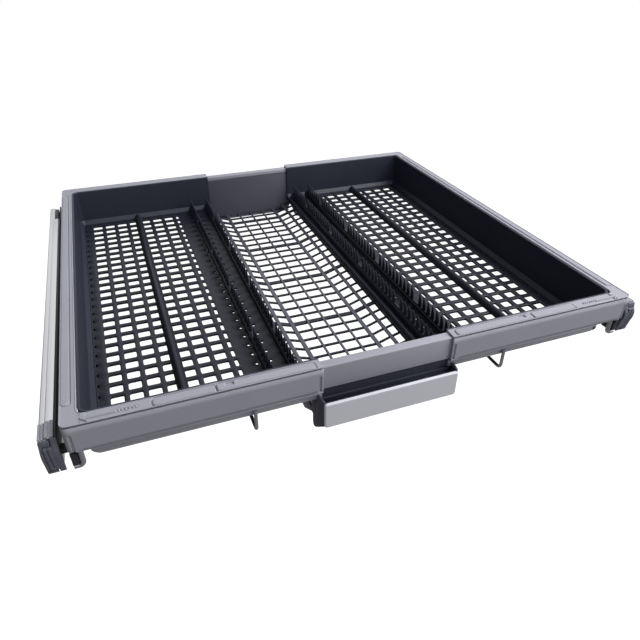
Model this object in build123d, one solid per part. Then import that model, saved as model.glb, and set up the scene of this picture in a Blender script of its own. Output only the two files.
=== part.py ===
"""Pull-out tray of a dishwasher: three sections between two telescopic rails.

Millimetres, +X to the right, +Y to the back, +Z up. The origin is at the centre of the
tray's bounding box, on its underside. Most places are given as the tray's maker gives them:
a depth behind the tray's front face, a drop below the rim, and for the rails an inset from
the rail's outer face.
"""

import os

from build123d import *

os.makedirs("parts", exist_ok=True)

# Whole tray
tray_width = 500.0
tray_depth = 472.0
tray_height = 70.0
centre_width = 117.0
side_travel = 48.0
fit_gap = 0.3
bore_clearance = 0.1

# Side frame: a sleeve that runs over the centre panels
wall = 2.0
rim_width = 14.0
corner_radius = 5.0
lip_drop = 5.0
wall_drop = 25.0
skirt_drop = 33.6
skirt_set_back = 2.8
skirt_thickness = 1.6
left_skirt_end_radius = 6.0
left_corner_notch = 16.0
right_skirt_end_radius = 2.0
right_corner_notch = 33.0
sleeve_clearance = 0.5
centre_overlap = 12.0
pad_height = 0.6
front_pad_inset = 1.2
front_pad_width = 8.8
front_pad_start = 63.0
front_pad_length = 45.0
front_pad_gap = 1.2
seam_pad_gap = 5.5
side_pad_inset = 0.9
side_pad_width = 5.7
side_pad_margin = 20.0

# Liner and floor of a side section
liner_wall = 2.0
liner_set_in = 0.2
liner_corner_radius = 6.0
liner_foot = 4.5
seam_bar = 4.0
ledge_width = 5.0
ledge_thickness = 1.2
side_floor_drop = 45.0
rib_height = 1.2
bar_height = 1.2
floor_band = 10.5
floor_border = 2.2
rib_width = 4.6
bar_width = 4.4
rib_pitch = 15.6
bar_pitch = 15.25

# Tine rows and rest rib of a side section
tine_row_gap = 7.5
tine_row_spacing = 21.5
tine_strip_gap = 20.5
tine_bar = 5.0
tine_height = 21.0
tine_pitch = 8.5
tine_thickness = 2.6
tine_web = 1.6
tines_in_group = 11
pivot_height = 4.2
hinge_wire_radius = 1.25
hinge_clearance = 0.08
rest_rib_inset = 88.8
rest_rib_height = 6.0
rest_rib_width = 10.0

# Centre panels, tub and grid
tub_side_gap = 6.0
tub_side_drop = 53.0
tub_end_slope = 9.0
tub_wall = 1.6
centre_floor_drop = 62.0
flat_half_width = 35.3
flat_columns = 4
flat_border = 4.4
thin_rib = 2.1
ramp_top_drop = 53.4
centre_bar_pitch = 15.43
centre_bar_start = 15.5
wide_bar_every = 6
first_wide_bar = 3
wide_bar = 4.9
narrow_bar = 1.9
panel_web = 3.0
panel_web_gap = 28.5

# Handle
handle_reach = 10.5
handle_side_gap = 3.1
handle_top_drop = 29.0
handle_bottom_drop = 55.2
handle_face_thickness = 2.6
handle_wall = 2.0
handle_edge = 1.2
handle_screw_gap = 20.5
handle_screw_drop = 43.0
screw_radius = 1.6

# Wires
rod_radius = 2.25
rod_depth = 7.0
rod_drop = 14.0
rod_end_drop = 43.7
rod_leg_inset = 7.3
rod_bend_radius = 5.0
cradle_radius = 1.5
cradle_depth = 0.8
cradle_bend_radius = 4.5
bush_length = 10.0
bush_foot = 19.0

# Rails, insets measured from the outer face of the outer rail
rail_gap = 17.0
rail_front = 8.5
rail_top_drop = 14.8
rail_height = 32.5
rail_length = 400.0
sheet = 1.2
outer_flange = 6.0
middle_inset = 2.2
middle_flange = 5.4
inner_flange = 4.3
inner_web_inset = 8.1
carrier_flange = 6.1
ball_radius = 1.5
ball_clearance = 0.1
outer_ball_inset = 4.0
inner_ball_inset = 6.35
balls_per_row = 2
cage_sheet = 0.6
cage_gap = 0.2
cage_lip = 0.4
cage_flange = 1.0
cage_length = 120.0
cage_depth = 150.0
cap_length = 5.0
cap_brow = 10.5
cap_chin = 16.5
cap_overhang = 0.2
sleeve_length = 17.5
rear_stop_length = 40.0
ear_length = 24.0
ear_drop = 12.0
ear_hole_radius = 2.6
ear_end_gap = 50.0

# Hangers between the carriers and the ends of the cross rods
hanger_sheet = 1.5
hanger_seat = 22.0
hanger_top_drop = 18.0
hanger_arm_drop = 29.0
hanger_shelf = 3.0
holder_gap = 0.5
holder_width = 4.3
holder_end = 18.0
holder_cover = 0.9
eye_width = 1.5

# Places that follow from the sizes above
front_y = (handle_reach - tray_depth - (cradle_radius - cradle_depth)) / 2
half_width = tray_width / 2
seam_x = centre_width / 2
side_width = half_width - seam_x
step = wall + sleeve_clearance
liner_inset = rim_width - liner_wall + liner_set_in
floor_inset = liner_inset + liner_wall + liner_foot
floor_thickness = rib_height + bar_height
liner_drop = side_floor_drop + floor_thickness + ledge_thickness
tine_row_xs = -seam_x - tine_row_gap, -seam_x - tine_row_gap - tine_row_spacing
pivot_drop = side_floor_drop - pivot_height
tub_half_width = seam_x + tub_side_gap
tub_front = rim_width - wall - sleeve_clearance
tub_drop = centre_floor_drop + floor_thickness + ledge_thickness
ramp_top = tub_half_width - tub_wall - fit_gap
handle_half_width = seam_x + handle_side_gap
handle_back = tub_front - wall - fit_gap
cradle_drop = side_floor_drop + floor_thickness + cradle_radius + bore_clearance
inner_cradle_x = tub_half_width + side_travel + cradle_radius + sleeve_clearance
rail_x = half_width + rail_gap
rail_back = rail_front + rail_length
outer_rail_back = rail_back + rear_stop_length
carrier_inset = inner_web_inset + sheet
carrier_back = carrier_inset + sheet
carrier_tip = carrier_back - carrier_flange
inner_tip = carrier_inset - inner_flange
middle_tip = middle_inset + middle_flange
holder_x = half_width - holder_gap


def block(x, depth, drop):
    """Box between two x, two depths behind the front face and two drops below the rim."""
    x0, x1 = min(x), max(x)
    y0, y1 = front_y + depth[0], front_y + depth[1]
    z0, z1 = tray_height - drop[1], tray_height - drop[0]
    return Pos((x0 + x1) / 2, (y0 + y1) / 2, (z0 + z1) / 2) * Box(x1 - x0, y1 - y0, z1 - z0)


def along_depth(outline, depth):
    """Prism of an outline of (x, drop) points between two depths."""
    points = [(x, tray_height - drop) for x, drop in outline]
    plane = Plane(origin=(0, front_y + depth[1], 0), x_dir=(1, 0, 0), z_dir=(0, -1, 0))
    return extrude(plane * make_face(Polyline(*points, close=True)), depth[1] - depth[0])


def along_width(outline, x):
    """Prism of an outline of (depth, drop) points between two x."""
    points = [(front_y + depth, tray_height - drop) for depth, drop in outline]
    plane = Plane(origin=(min(x), 0, 0), x_dir=(0, 1, 0), z_dir=(1, 0, 0))
    return extrude(plane * make_face(Polyline(*points, close=True)), max(x) - min(x))


def along_height(outline, drop):
    """Prism of an outline of (x, depth) points between two drops."""
    points = [(x, front_y + depth) for x, depth in outline]
    plane = Plane(origin=(0, 0, tray_height - drop[1]))
    return extrude(plane * make_face(Polyline(*points, close=True)), drop[1] - drop[0])


def place(spot):
    """Point in space of an (x, depth, drop) place."""
    x, depth, drop = spot
    return Vector(x, front_y + depth, tray_height - drop)


def round_hole(start, end, radius):
    """Round cutter from one place to another."""
    axis = place(end) - place(start)
    return extrude(Plane(origin=place(start), z_dir=axis) * Circle(radius), axis.length)


def thin_rod(start, end, radius):
    """Thin round bar with eight flats, its corners at the radius."""
    axis = place(end) - place(start)
    section = Plane(origin=place(start), z_dir=axis) * RegularPolygon(radius, 8)
    return extrude(section, axis.length)


def thin_bore(start, end, radius):
    """Cutter for a thin round bore with eight flats, its flats at the radius."""
    axis = place(end) - place(start)
    section = RegularPolygon(radius, 8, major_radius=False)
    return extrude(Plane(origin=place(start), z_dir=axis) * section, axis.length)


def bent_wire(route, radius, bend):
    """Thin wire along a route of places, each corner rounded to the bend in two flats."""
    corners = [place(spot) for spot in route]
    points = [corners[0]]
    for before, corner, after in zip(corners, corners[1:], corners[2:]):
        start = corner + (before - corner).normalized() * bend
        end = corner + (after - corner).normalized() * bend
        points += [start, start * 0.25 + corner * 0.5 + end * 0.25, end]
    path = Polyline(*points, corners[-1])
    section = Plane(origin=path @ 0, z_dir=path % 0) * RegularPolygon(radius, 8)
    return sweep(section, path=path, transition=Transition.RIGHT)


def at_rear(shape):
    """The same shape at the back of the tray, mirrored about its middle depth."""
    return mirror(shape, about=Plane.XZ.offset(-(front_y + tray_depth / 2)))


def both_ends(shape):
    """A shape together with its mirror image at the back of the tray."""
    return shape + at_rear(shape)


def right(shape):
    """The right-hand twin of a left-hand shape."""
    return mirror(shape, about=Plane.YZ)


def left_inset(inset):
    """x of a place on the left, measured in from the tray's outer face."""
    return inset - half_width


def section_sheet(inset, radius, corner=fillet):
    """Flat outline of the left section at an inset, its two outer corners rounded or cut."""
    middle = Pos(left_inset((inset + side_width) / 2), front_y + tray_depth / 2)
    face = middle * Rectangle(side_width - inset, tray_depth - 2 * inset)
    return corner(face.vertices().group_by(Axis.X)[0], radius)


def u_ring(outer, inner, drop):
    """Flat U round the three closed sides of the left section, between two outlines."""
    return Pos(0, 0, tray_height - drop[1]) * extrude(outer - inner, drop[1] - drop[0])


def on_seam(edge):
    """True for an edge that lies on the seam with the centre."""
    return abs(abs(edge.center().X) - seam_x) < 0.01


def section_basin(face, foot, drop):
    """Solid filling of an outline of the left section, its bottom edges cut at 45 degrees."""
    solid = Pos(0, 0, tray_height - drop[1]) * extrude(face, drop[1] - drop[0])
    low = solid.faces().sort_by(Axis.Z)[0].edges().filter_by(lambda e: not on_seam(e))
    return chamfer(low, foot)


def evenly(first, last, pitch):
    """Places with a pitch between two ends, as many as fit, centred between them."""
    count = int((last - first) / pitch)
    start = (first + last - count * pitch) / 2
    return [start + i * pitch for i in range(count + 1)]


def from_start(first, last, pitch):
    """Places with a pitch from the first on, as many as fit before the last."""
    return [first + i * pitch for i in range(int((last - first) / pitch) + 1)]


def pad(x, depth):
    """Raised field on the left rim between two x and two depths."""
    return block(x, depth, (-pad_height, 0))


def side_frame(notch, end_radius):
    """Grey sleeve of the left section: rim, skin, inner lip, ledges and skirts."""
    outside = section_sheet(0, corner_radius)
    opening = section_sheet(rim_width, corner_radius)
    skin_back = section_sheet(wall, corner_radius - wall, chamfer)
    lip_front = section_sheet(rim_width - wall, corner_radius, chamfer)
    frame = u_ring(outside, opening, (0, wall))
    frame += u_ring(outside, skin_back, (wall, wall_drop))
    frame += u_ring(lip_front, opening, (wall, lip_drop))
    reach = skirt_set_back + skirt_thickness
    ledge_bottom = wall_drop + skirt_thickness
    across = (left_inset(notch), -seam_x)
    ledge = block(across, (0, reach), (wall_drop, ledge_bottom))
    skirt = block(across, (skirt_set_back, reach), (ledge_bottom, skirt_drop))
    low_edge = skirt.edges().filter_by(Axis.Y).sort_by(lambda e: e.center().X + e.center().Z)[0]
    skirt = fillet(low_edge, end_radius)
    frame += both_ends(ledge + skirt)
    slot = rod_radius + sleeve_clearance
    frame -= both_ends(block((left_inset(-1), left_inset(wall + 1)),
                             (rod_depth - slot, rod_depth + slot),
                             (rod_drop - slot, wall_drop + 1)))
    frame += pad((left_inset(side_pad_inset), left_inset(side_pad_inset + side_pad_width)),
                 (side_pad_margin, tray_depth - side_pad_margin))
    front_pad = (front_pad_inset, front_pad_inset + front_pad_width)
    first_end = left_inset(front_pad_start + front_pad_length)
    frame += pad((left_inset(front_pad_start), first_end), front_pad)
    return frame + pad((first_end + front_pad_gap, -seam_x - seam_pad_gap), front_pad)


def side_liner():
    """Dark inner walls of the left section with the ledge that carries its floor."""
    inside = liner_inset + liner_wall
    top = lip_drop + fit_gap
    outer_foot = liner_foot + floor_thickness
    outside = section_sheet(liner_inset, liner_corner_radius, chamfer)
    liner = section_basin(outside, outer_foot, (top, liner_drop))
    liner -= section_basin(section_sheet(inside, liner_corner_radius), liner_foot,
                           (top - 1, side_floor_drop))
    ledge_inset = floor_inset + ledge_width
    liner -= block((left_inset(floor_inset), -seam_x - seam_bar),
                   (floor_inset, tray_depth - floor_inset),
                   (side_floor_drop - 1, liner_drop - ledge_thickness))
    liner -= block((left_inset(ledge_inset), -seam_x - seam_bar),
                   (ledge_inset, tray_depth - ledge_inset),
                   (side_floor_drop - 1, liner_drop + 1))
    notch = cradle_radius + fit_gap
    liner -= block((-inner_cradle_x - notch, -inner_cradle_x + notch), (0, tray_depth),
                   (liner_drop - ledge_thickness, liner_drop + 1))
    for x in tine_row_xs:
        liner -= thin_bore((x, 0, pivot_drop), (x, tray_depth, pivot_drop), hinge_wire_radius)
    return liner


def side_floor():
    """Dark floor grid of the left section: cross bars below, ribs on them, a tine strip."""
    first = floor_inset + fit_gap
    x0, x1 = left_inset(first), -seam_x - seam_bar - fit_gap
    y0, y1 = first, tray_depth - first
    band = x0 + floor_band
    strip = tine_row_xs[-1] - tine_strip_gap
    rib_drop = (side_floor_drop, side_floor_drop + rib_height)
    bar_drop = (rib_drop[1], side_floor_drop + floor_thickness)
    whole = (rib_drop[0], bar_drop[1])
    floor = block((strip, x1), (y0, y1), whole)
    floor += block((x0, band), (y0, y1), whole)
    floor += both_ends(block((band, strip), (y0, y0 + floor_border), whole))
    ribs = from_start(band + rib_pitch - rib_width / 2, strip - rib_width / 2, rib_pitch)
    bars = from_start(y0 + bar_pitch, y1 - floor_border - bar_width / 2, bar_pitch)
    grid = [block((band, strip), (depth - bar_width / 2, depth + bar_width / 2), bar_drop)
            for depth in bars]
    grid += [block((x - rib_width / 2, x + rib_width / 2), (y0, y1), rib_drop) for x in ribs]
    return floor + grid


def tine_row(x):
    """Fold-down tine row at x: a square bar on its wire with pointed tines above."""
    first = floor_inset + 2 * fit_gap
    y0, y1 = first, tray_depth - first
    half = tine_bar / 2
    row = block((x - half, x + half), (y0, y1), (pivot_drop - half, pivot_drop + half))
    web_drop = pivot_drop - half - tine_web
    top_drop = side_floor_drop - tine_height
    outline = [(y0, pivot_drop - half), (y0, web_drop)]
    tines = evenly(y0 + tine_pitch / 2, y1 - tine_pitch / 2, tine_pitch)
    for number, depth in enumerate(tines, 1):
        if number % tines_in_group:
            outline += [(depth - tine_pitch / 2, web_drop), (depth, top_drop)]
        elif number < len(tines):
            outline.append((depth - tine_pitch / 2, web_drop))
    outline += [(tines[-1] + tine_pitch / 2, web_drop), (y1, web_drop), (y1, pivot_drop - half)]
    row += along_width(outline, (x - tine_thickness / 2, x + tine_thickness / 2))
    return row - thin_bore((x, 0, pivot_drop), (x, tray_depth, pivot_drop),
                           hinge_wire_radius + hinge_clearance)


def hinge_wires():
    """The two wires that the left section's tine rows turn on, held in the liner walls."""
    ends = liner_inset + fit_gap, tray_depth - liner_inset - fit_gap
    wires = [thin_rod((x, ends[0], pivot_drop), (x, ends[1], pivot_drop), hinge_wire_radius)
             for x in tine_row_xs]
    return Compound(wires)


def rest_rib():
    """Low ridge on the left floor with a rounded crest."""
    first = floor_inset + 2 * fit_gap
    middle, half = left_inset(rest_rib_inset), rest_rib_width / 2
    foot, top = side_floor_drop, side_floor_drop - rest_rib_height
    outline = [(middle - half, foot), (middle - half * 0.6, top + 1),
               (middle - half * 0.25, top), (middle + half * 0.25, top),
               (middle + half * 0.6, top + 1), (middle + half, foot)]
    return along_depth(outline, (first, tray_depth - first))


def cradle_wire(x, low_drop, top_drop):
    """Wire that runs under a side floor and turns up into the front and rear walls."""
    back = tray_depth - cradle_depth
    return bent_wire([(x, cradle_depth, top_drop), (x, cradle_depth, low_drop),
                      (x, back, low_drop), (x, back, top_drop)],
                     cradle_radius, cradle_bend_radius)


def rod_bushes():
    """Four guide blocks in the left frame's front and rear walls that run on the rods."""
    innermost = side_width - centre_overlap - side_travel - wall
    blocks = []
    for start in (rod_leg_inset + 2 * rod_bend_radius, innermost - bush_length):
        x = left_inset(start), left_inset(start + bush_length)
        bush = block(x, (wall, rim_width - wall), (wall, bush_foot))
        blocks.append(bush - thin_bore((x[0] - 1, rod_depth, rod_drop),
                                       (x[1] + 1, rod_depth, rod_drop),
                                       rod_radius + fit_gap / 2))
    return both_ends(blocks[0] + blocks[1])


def cross_rod():
    """Front cross rod: hidden in the walls, bent down and out into the hangers' eyes."""
    reach = holder_x - fit_gap
    leg = half_width - rod_leg_inset
    return bent_wire([(-reach, rod_depth, rod_end_drop), (-leg, rod_depth, rod_end_drop),
                      (-leg, rod_depth, rod_drop), (leg, rod_depth, rod_drop),
                      (leg, rod_depth, rod_end_drop), (reach, rod_depth, rod_end_drop)],
                     rod_radius, rod_bend_radius)


def handle_screw_xs():
    """x of the two screws that hold the handle."""
    x = seam_x - handle_screw_gap
    return -x, x


def centre_panel(low_drop):
    """Front channel of the centre: skin, top, inner lip, ledge, skirt and rod webs."""
    reach = seam_x + centre_overlap
    skirt_front = skirt_set_back + skirt_thickness + sleeve_clearance
    skirt_back = skirt_front + skirt_thickness
    ledge_bottom = wall_drop - sleeve_clearance
    ledge_top = ledge_bottom - skirt_thickness
    lip_back = tub_front - wall
    outline = [(step, step), (tub_front, step), (tub_front, step + lip_drop),
               (lip_back, step + lip_drop), (lip_back, step + wall), (step + wall, step + wall),
               (step + wall, ledge_top), (skirt_back, ledge_top), (skirt_back, skirt_drop),
               (skirt_front, skirt_drop), (skirt_front, ledge_bottom), (step, ledge_bottom)]
    panel = along_width(outline, (-reach, reach))
    for x in (panel_web_gap - seam_x, seam_x - panel_web_gap):
        panel += block((x - panel_web / 2, x + panel_web / 2), (step + wall, lip_back),
                       (step + wall, bush_foot))
    panel -= thin_bore((-reach - 1, rod_depth, rod_drop), (reach + 1, rod_depth, rod_drop),
                       rod_radius + bore_clearance)
    if low_drop > skirt_drop:
        panel += block((-seam_x, seam_x), (skirt_front, skirt_back), (skirt_drop, low_drop))
        for x in handle_screw_xs():
            panel -= thin_bore((x, skirt_front - 1, handle_screw_drop),
                               (x, skirt_back + 1, handle_screw_drop), screw_radius + bore_clearance)
    return panel


def centre_tub():
    """Dark deep ring of the centre with the ledge that its grid lies on."""
    top = step + lip_drop + fit_gap
    ledge_drop = (tub_drop - ledge_thickness, tub_drop)
    half = tub_half_width
    inside = half - tub_wall
    tub = block((-half, half), (tub_front - wall, tub_front), (top, tub_drop))
    tub += block((-inside, inside), (tub_front, tub_front + ledge_width), ledge_drop)
    tub = both_ends(tub)
    rise = tub_drop - tub_side_drop - ledge_thickness
    ends = tub_front, tray_depth - tub_front
    side = [(ends[0], tub_side_drop), (ends[1], tub_side_drop), (ends[1], tub_drop - rise),
            (ends[1] - tub_end_slope, tub_drop), (ends[0] + tub_end_slope, tub_drop),
            (ends[0], tub_drop - rise)]
    for sign in (-1, 1):
        tub += along_width(side, (sign * half, sign * inside))
        tub += block((sign * inside, sign * (inside - ledge_width)), ends, ledge_drop)
    return tub


def centre_grid():
    """Dark grid of the centre: flat in the middle, with a shallow ramp at each side."""
    y0, y1 = tub_front + fit_gap, tray_depth - tub_front - fit_gap
    profile = [(-ramp_top + thin_rib, ramp_top_drop), (-flat_half_width, centre_floor_drop)]
    profile += [(-x, drop) for x, drop in reversed(profile)]
    outline = [(x, drop + rib_height) for x, drop in profile]
    outline += [(x, drop + floor_thickness) for x, drop in reversed(profile)]
    grid = [along_depth(outline, (y0, y0 + floor_border)),
            along_depth(outline, (y1 - floor_border, y1))]
    depths = from_start(centre_bar_start, y1 - centre_bar_pitch / 2, centre_bar_pitch)
    for number, depth in enumerate(depths):
        half = (wide_bar if number % wide_bar_every == first_wide_bar else narrow_bar) / 2
        grid.append(along_depth(outline, (depth - half, depth + half)))
    for number in range(flat_columns + 1):
        x = flat_half_width * (2 * number / flat_columns - 1)
        half = (flat_border if number in (0, flat_columns) else thin_rib) / 2
        grid.append(block((x - half, x + half), (y0, y1),
                          (centre_floor_drop, centre_floor_drop + rib_height)))
    for sign in (-1, 1):
        grid.append(block((sign * (ramp_top - thin_rib), sign * ramp_top), (y0, y1),
                          (ramp_top_drop, ramp_top_drop + floor_thickness)))
    return grid[0] + grid[1:]


def handle_face():
    """Light front plate of the handle with bevelled edges."""
    face = block((-handle_half_width, handle_half_width),
                 (-handle_reach, handle_face_thickness - handle_reach),
                 (handle_top_drop, handle_bottom_drop))
    front = face.faces().sort_by(Axis.Y)[0]
    return chamfer(front.edges(), handle_edge)


def handle_body():
    """Dark trough behind the handle face, its bottom sloping down to the tub's front."""
    start = handle_face_thickness - handle_reach
    plate_back = skirt_set_back + skirt_thickness + sleeve_clearance
    plate_front = plate_back - handle_wall
    cheek_back = skirt_set_back - sleeve_clearance
    clear_drop = skirt_drop + 2 * sleeve_clearance
    slope = (tray_height - handle_bottom_drop) / (handle_back - start)

    def bottom(depth):
        return handle_bottom_drop + slope * (depth - start)

    def plan(margin):
        return [(-handle_half_width + margin, start), (handle_half_width - margin, start),
                (tub_half_width - margin, handle_back), (margin - tub_half_width, handle_back)]

    def hollow(ends):
        side = [(ends[0], handle_top_drop - 1), (ends[1], handle_top_drop - 1),
                (ends[1], bottom(ends[1]) - handle_wall), (ends[0], bottom(ends[0]) - handle_wall)]
        return along_width(side, (-tub_half_width, tub_half_width))

    outline = [(start, handle_top_drop), (cheek_back, handle_top_drop), (cheek_back, clear_drop),
               (handle_back, clear_drop), (handle_back, tray_height), (start, handle_bottom_drop)]
    drops = (handle_top_drop - 2, tray_height + 1)
    body = along_width(outline, (-tub_half_width, tub_half_width)) & along_height(plan(0), drops)
    inside = along_height(plan(handle_wall), drops)
    body -= hollow((start, plate_front)) & inside
    body -= hollow((plate_back, handle_back)) & inside
    for x in handle_screw_xs():
        body -= thin_bore((x, plate_front - 1, handle_screw_drop),
                          (x, plate_back + 1, handle_screw_drop), screw_radius + bore_clearance)
    return body


def handle_screws():
    """Two pan-head screws that fix the handle body to the centre front panel."""
    back = skirt_set_back + skirt_thickness + sleeve_clearance
    seat, tip = back - handle_wall, back + skirt_thickness + 1.5
    screws = []
    for x in handle_screw_xs():
        shank = thin_rod((x, seat, handle_screw_drop), (x, tip, handle_screw_drop), screw_radius)
        head = thin_rod((x, seat - screw_radius, handle_screw_drop),
                        (x, seat, handle_screw_drop), 2 * screw_radius)
        screws.append((shank + head).solid())
    return Compound(screws)


def rail_profile(insets, drops, back):
    """C profile on the right: a web with a flange at its top and bottom."""
    web, tip = insets
    x_web, x_tip = rail_x - web, rail_x - tip
    inward = -sheet if tip > web else sheet
    outline = [(x_web, drops[0]), (x_tip, drops[0]), (x_tip, drops[0] + sheet),
               (x_web + inward, drops[0] + sheet), (x_web + inward, drops[1] - sheet),
               (x_tip, drops[1] - sheet), (x_tip, drops[1]), (x_web, drops[1])]
    return along_depth(outline, (rail_front, back))


def nested_drops(level):
    """Top and bottom drop of the outer, middle or inner rail, by level 0, 1 or 2."""
    inset = level * (sheet + 2 * (ball_radius + ball_clearance))
    return rail_top_drop + inset, rail_top_drop + rail_height - inset


def outer_rail():
    """Right outer rail with two screw ears below it."""
    rail = rail_profile((0, outer_flange), nested_drops(0), outer_rail_back)
    bottom = nested_drops(0)[1]
    for depth in (rail_front + ear_end_gap, outer_rail_back - ear_end_gap):
        rail += block((rail_x - sheet, rail_x), (depth - ear_length / 2, depth + ear_length / 2),
                      (bottom, bottom + ear_drop))
        rail -= round_hole((rail_x - sheet - 1, depth, bottom + ear_drop / 2),
                           (rail_x + 1, depth, bottom + ear_drop / 2), ear_hole_radius)
    return rail


def middle_rail():
    """Right middle rail, nested in the outer one on balls."""
    return rail_profile((middle_inset, middle_tip), nested_drops(1), rail_back)


def inner_rail():
    """Right inner rail: its flanges point outwards into the middle rail."""
    return rail_profile((carrier_inset, inner_tip), nested_drops(2), rail_back)


def carrier_top():
    """Drop of the carrier's top flange, which runs just above the outer rail."""
    return rail_top_drop - fit_gap - sheet


def carrier():
    """Right carrier profile: a tall web on the inner rail with a flange along its top."""
    top, bottom = carrier_top(), nested_drops(0)[1]
    x0, x1, tip = rail_x - carrier_inset, rail_x - carrier_back, rail_x - carrier_tip
    outline = [(x1, top), (tip, top), (tip, top + sheet), (x0, top + sheet), (x0, bottom),
               (x1, bottom)]
    return along_depth(outline, (rail_front, rail_back))


def race_drops(level):
    """Drops of the upper and lower ball row outside the middle or the inner rail."""
    top, bottom = nested_drops(level)
    reach = ball_radius + ball_clearance
    return top + sheet + reach, bottom - sheet - reach


def ball_depths():
    """Depths of the balls along a cage."""
    gap = cage_length / balls_per_row
    return [cage_depth + gap * (i + 0.5) for i in range(balls_per_row)]


def ball():
    """One ball in flat facets: a six-sided belt that narrows to both poles."""
    belt = RegularPolygon(ball_radius, 6)
    cap = RegularPolygon(ball_radius / 2, 6)
    return loft([belt, Pos(0, 0, ball_radius) * cap]) + loft([Pos(0, 0, -ball_radius) * cap, belt])


def balls(level, inset):
    """Ball rows of one race, for both rails."""
    one = ball()
    group = []
    for side in (-1, 1):
        for drop in race_drops(level):
            for depth in ball_depths():
                group.append((Location(place((side * (rail_x - inset), depth, drop))) * one).solid())
    return Compound(group)


def ball_cage(level, inset, web, tip):
    """Right ball cage: a thin C with a pocket for each ball."""
    upper, lower = race_drops(level)
    half, pocket = cage_flange / 2, ball_radius + ball_clearance
    along = (cage_depth, cage_depth + cage_length)
    cage = block((rail_x - web, rail_x - web - cage_sheet), along, (upper - half, lower + half))
    for drop in (upper, lower):
        cage += block((rail_x - web, rail_x - tip), along, (drop - half, drop + half))
        for depth in ball_depths():
            cage -= block((rail_x - inset - pocket, rail_x - inset + pocket),
                          (depth - pocket, depth + pocket), (drop - half, drop + half))
    return cage


def cap(x, top):
    """Cap in front of a rail, its nose drawn back to a foot as seen from the side."""
    bottom = nested_drops(0)[1] + sheet
    nose = rail_front - cap_length
    outline = [(rail_front, top), (nose + cap_length / 2, top), (nose, top + cap_brow),
               (nose, top + cap_chin), (nose + cap_length * 0.6, bottom), (rail_front, bottom)]
    return along_width(outline, x)


def outer_cap():
    """Right cap on the outer rail: hollow, so that the middle rail runs through it."""
    tip = rail_x - middle_tip
    top, bottom = nested_drops(1)
    shell = cap((tip + fit_gap, rail_x + cap_overhang), nested_drops(0)[0])
    return shell - block((tip, rail_x - middle_inset + fit_gap),
                         (rail_front - cap_length - 1, rail_front + 1),
                         (top - fit_gap, bottom + fit_gap))


def middle_plug():
    """Right plug in front of the middle rail, outside the inner rail's flanges."""
    top, bottom = nested_drops(1)
    nose = rail_front - cap_length
    outline = [(rail_front, top + fit_gap), (nose + 1, top + fit_gap),
               (nose + cap_length * 0.4, bottom - fit_gap), (rail_front, bottom - fit_gap)]
    return along_width(outline, (rail_x - inner_tip + fit_gap, rail_x - middle_inset - fit_gap))


def inner_cap():
    """Right cap on the front of the carrier and the inner rail."""
    return cap((rail_x - carrier_back - hanger_sheet - fit_gap, rail_x - middle_tip - fit_gap),
               carrier_top())


def sleeve(x, seat):
    """Saddle over the front end of a rail's top flange."""
    return block(x, (rail_front, rail_front + sleeve_length), (seat - sheet, seat))


def rear_stop():
    """Right rear stop in the end of the outer rail."""
    top, bottom = nested_drops(0)
    inside = sheet + bore_clearance
    return block((rail_x - inside, rail_x - carrier_back + sleeve_clearance),
                 (rail_back + fit_gap, outer_rail_back), (top + inside, bottom - inside))


def hanger(arm):
    """Right hanger at the front: a plate on the carrier, a shelf, and a block with an eye."""
    outside = rail_x - carrier_back
    block_inside = holder_x - holder_width
    shelf_drop = (hanger_arm_drop, hanger_arm_drop + hanger_shelf)
    pocket_back = rod_depth + rod_radius + fit_gap
    front = rod_depth - rod_radius - eye_width
    bottom = rod_end_drop + holder_cover
    plate = block((outside - hanger_sheet, outside), arm, (hanger_top_drop, shelf_drop[1]))
    shelf = block((block_inside, outside), (pocket_back, holder_end), shelf_drop)
    holder = block((block_inside, holder_x), (front, holder_end), (shelf_drop[0], bottom))
    holder -= block((block_inside - 1, holder_x - eye_width), (front - 1, pocket_back),
                    (shelf_drop[1], bottom + 1))
    holder -= thin_bore((block_inside - 1, rod_depth, rod_end_drop),
                        (holder_x + 1, rod_depth, rod_end_drop), rod_radius + bore_clearance)
    return plate + shelf + holder


def hangers():
    """Right front and rear hangers; the rear one's arm runs back from the carrier's end."""
    front = hanger((rail_front + fit_gap, rail_front + hanger_seat))
    rear_start = tray_depth - rail_back + hanger_seat
    return front + at_rear(hanger((rod_depth + rod_radius + fit_gap, rear_start)))


pieces = {
    "left_frame": side_frame(left_corner_notch, left_skirt_end_radius),
    "left_liner": side_liner(),
    "left_floor": side_floor(),
    "left_inner_tine_row": tine_row(tine_row_xs[0]),
    "left_outer_tine_row": tine_row(tine_row_xs[1]),
    "left_hinge_wires": hinge_wires(),
    "left_rest_rib": rest_rib(),
    "left_inner_cradle_wire": cradle_wire(-inner_cradle_x, cradle_drop,
                                          wall_drop + skirt_thickness + bore_clearance),
    "left_rod_bushes": rod_bushes(),
}
for name in list(pieces):
    pieces[name.replace("left_", "right_")] = right(pieces[name])
pieces["right_frame"] = right(side_frame(right_corner_notch, right_skirt_end_radius))

pieces["front_cross_rod"] = cross_rod()
pieces["rear_cross_rod"] = at_rear(cross_rod())
pieces["centre_front_panel"] = centre_panel(handle_bottom_drop - handle_wall)
pieces["centre_rear_panel"] = at_rear(centre_panel(skirt_drop))
pieces["centre_tub"] = centre_tub()
pieces["centre_grid"] = centre_grid()
pieces["handle_face"] = handle_face()
pieces["handle_body"] = handle_body()
pieces["handle_screws"] = handle_screws()

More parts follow.
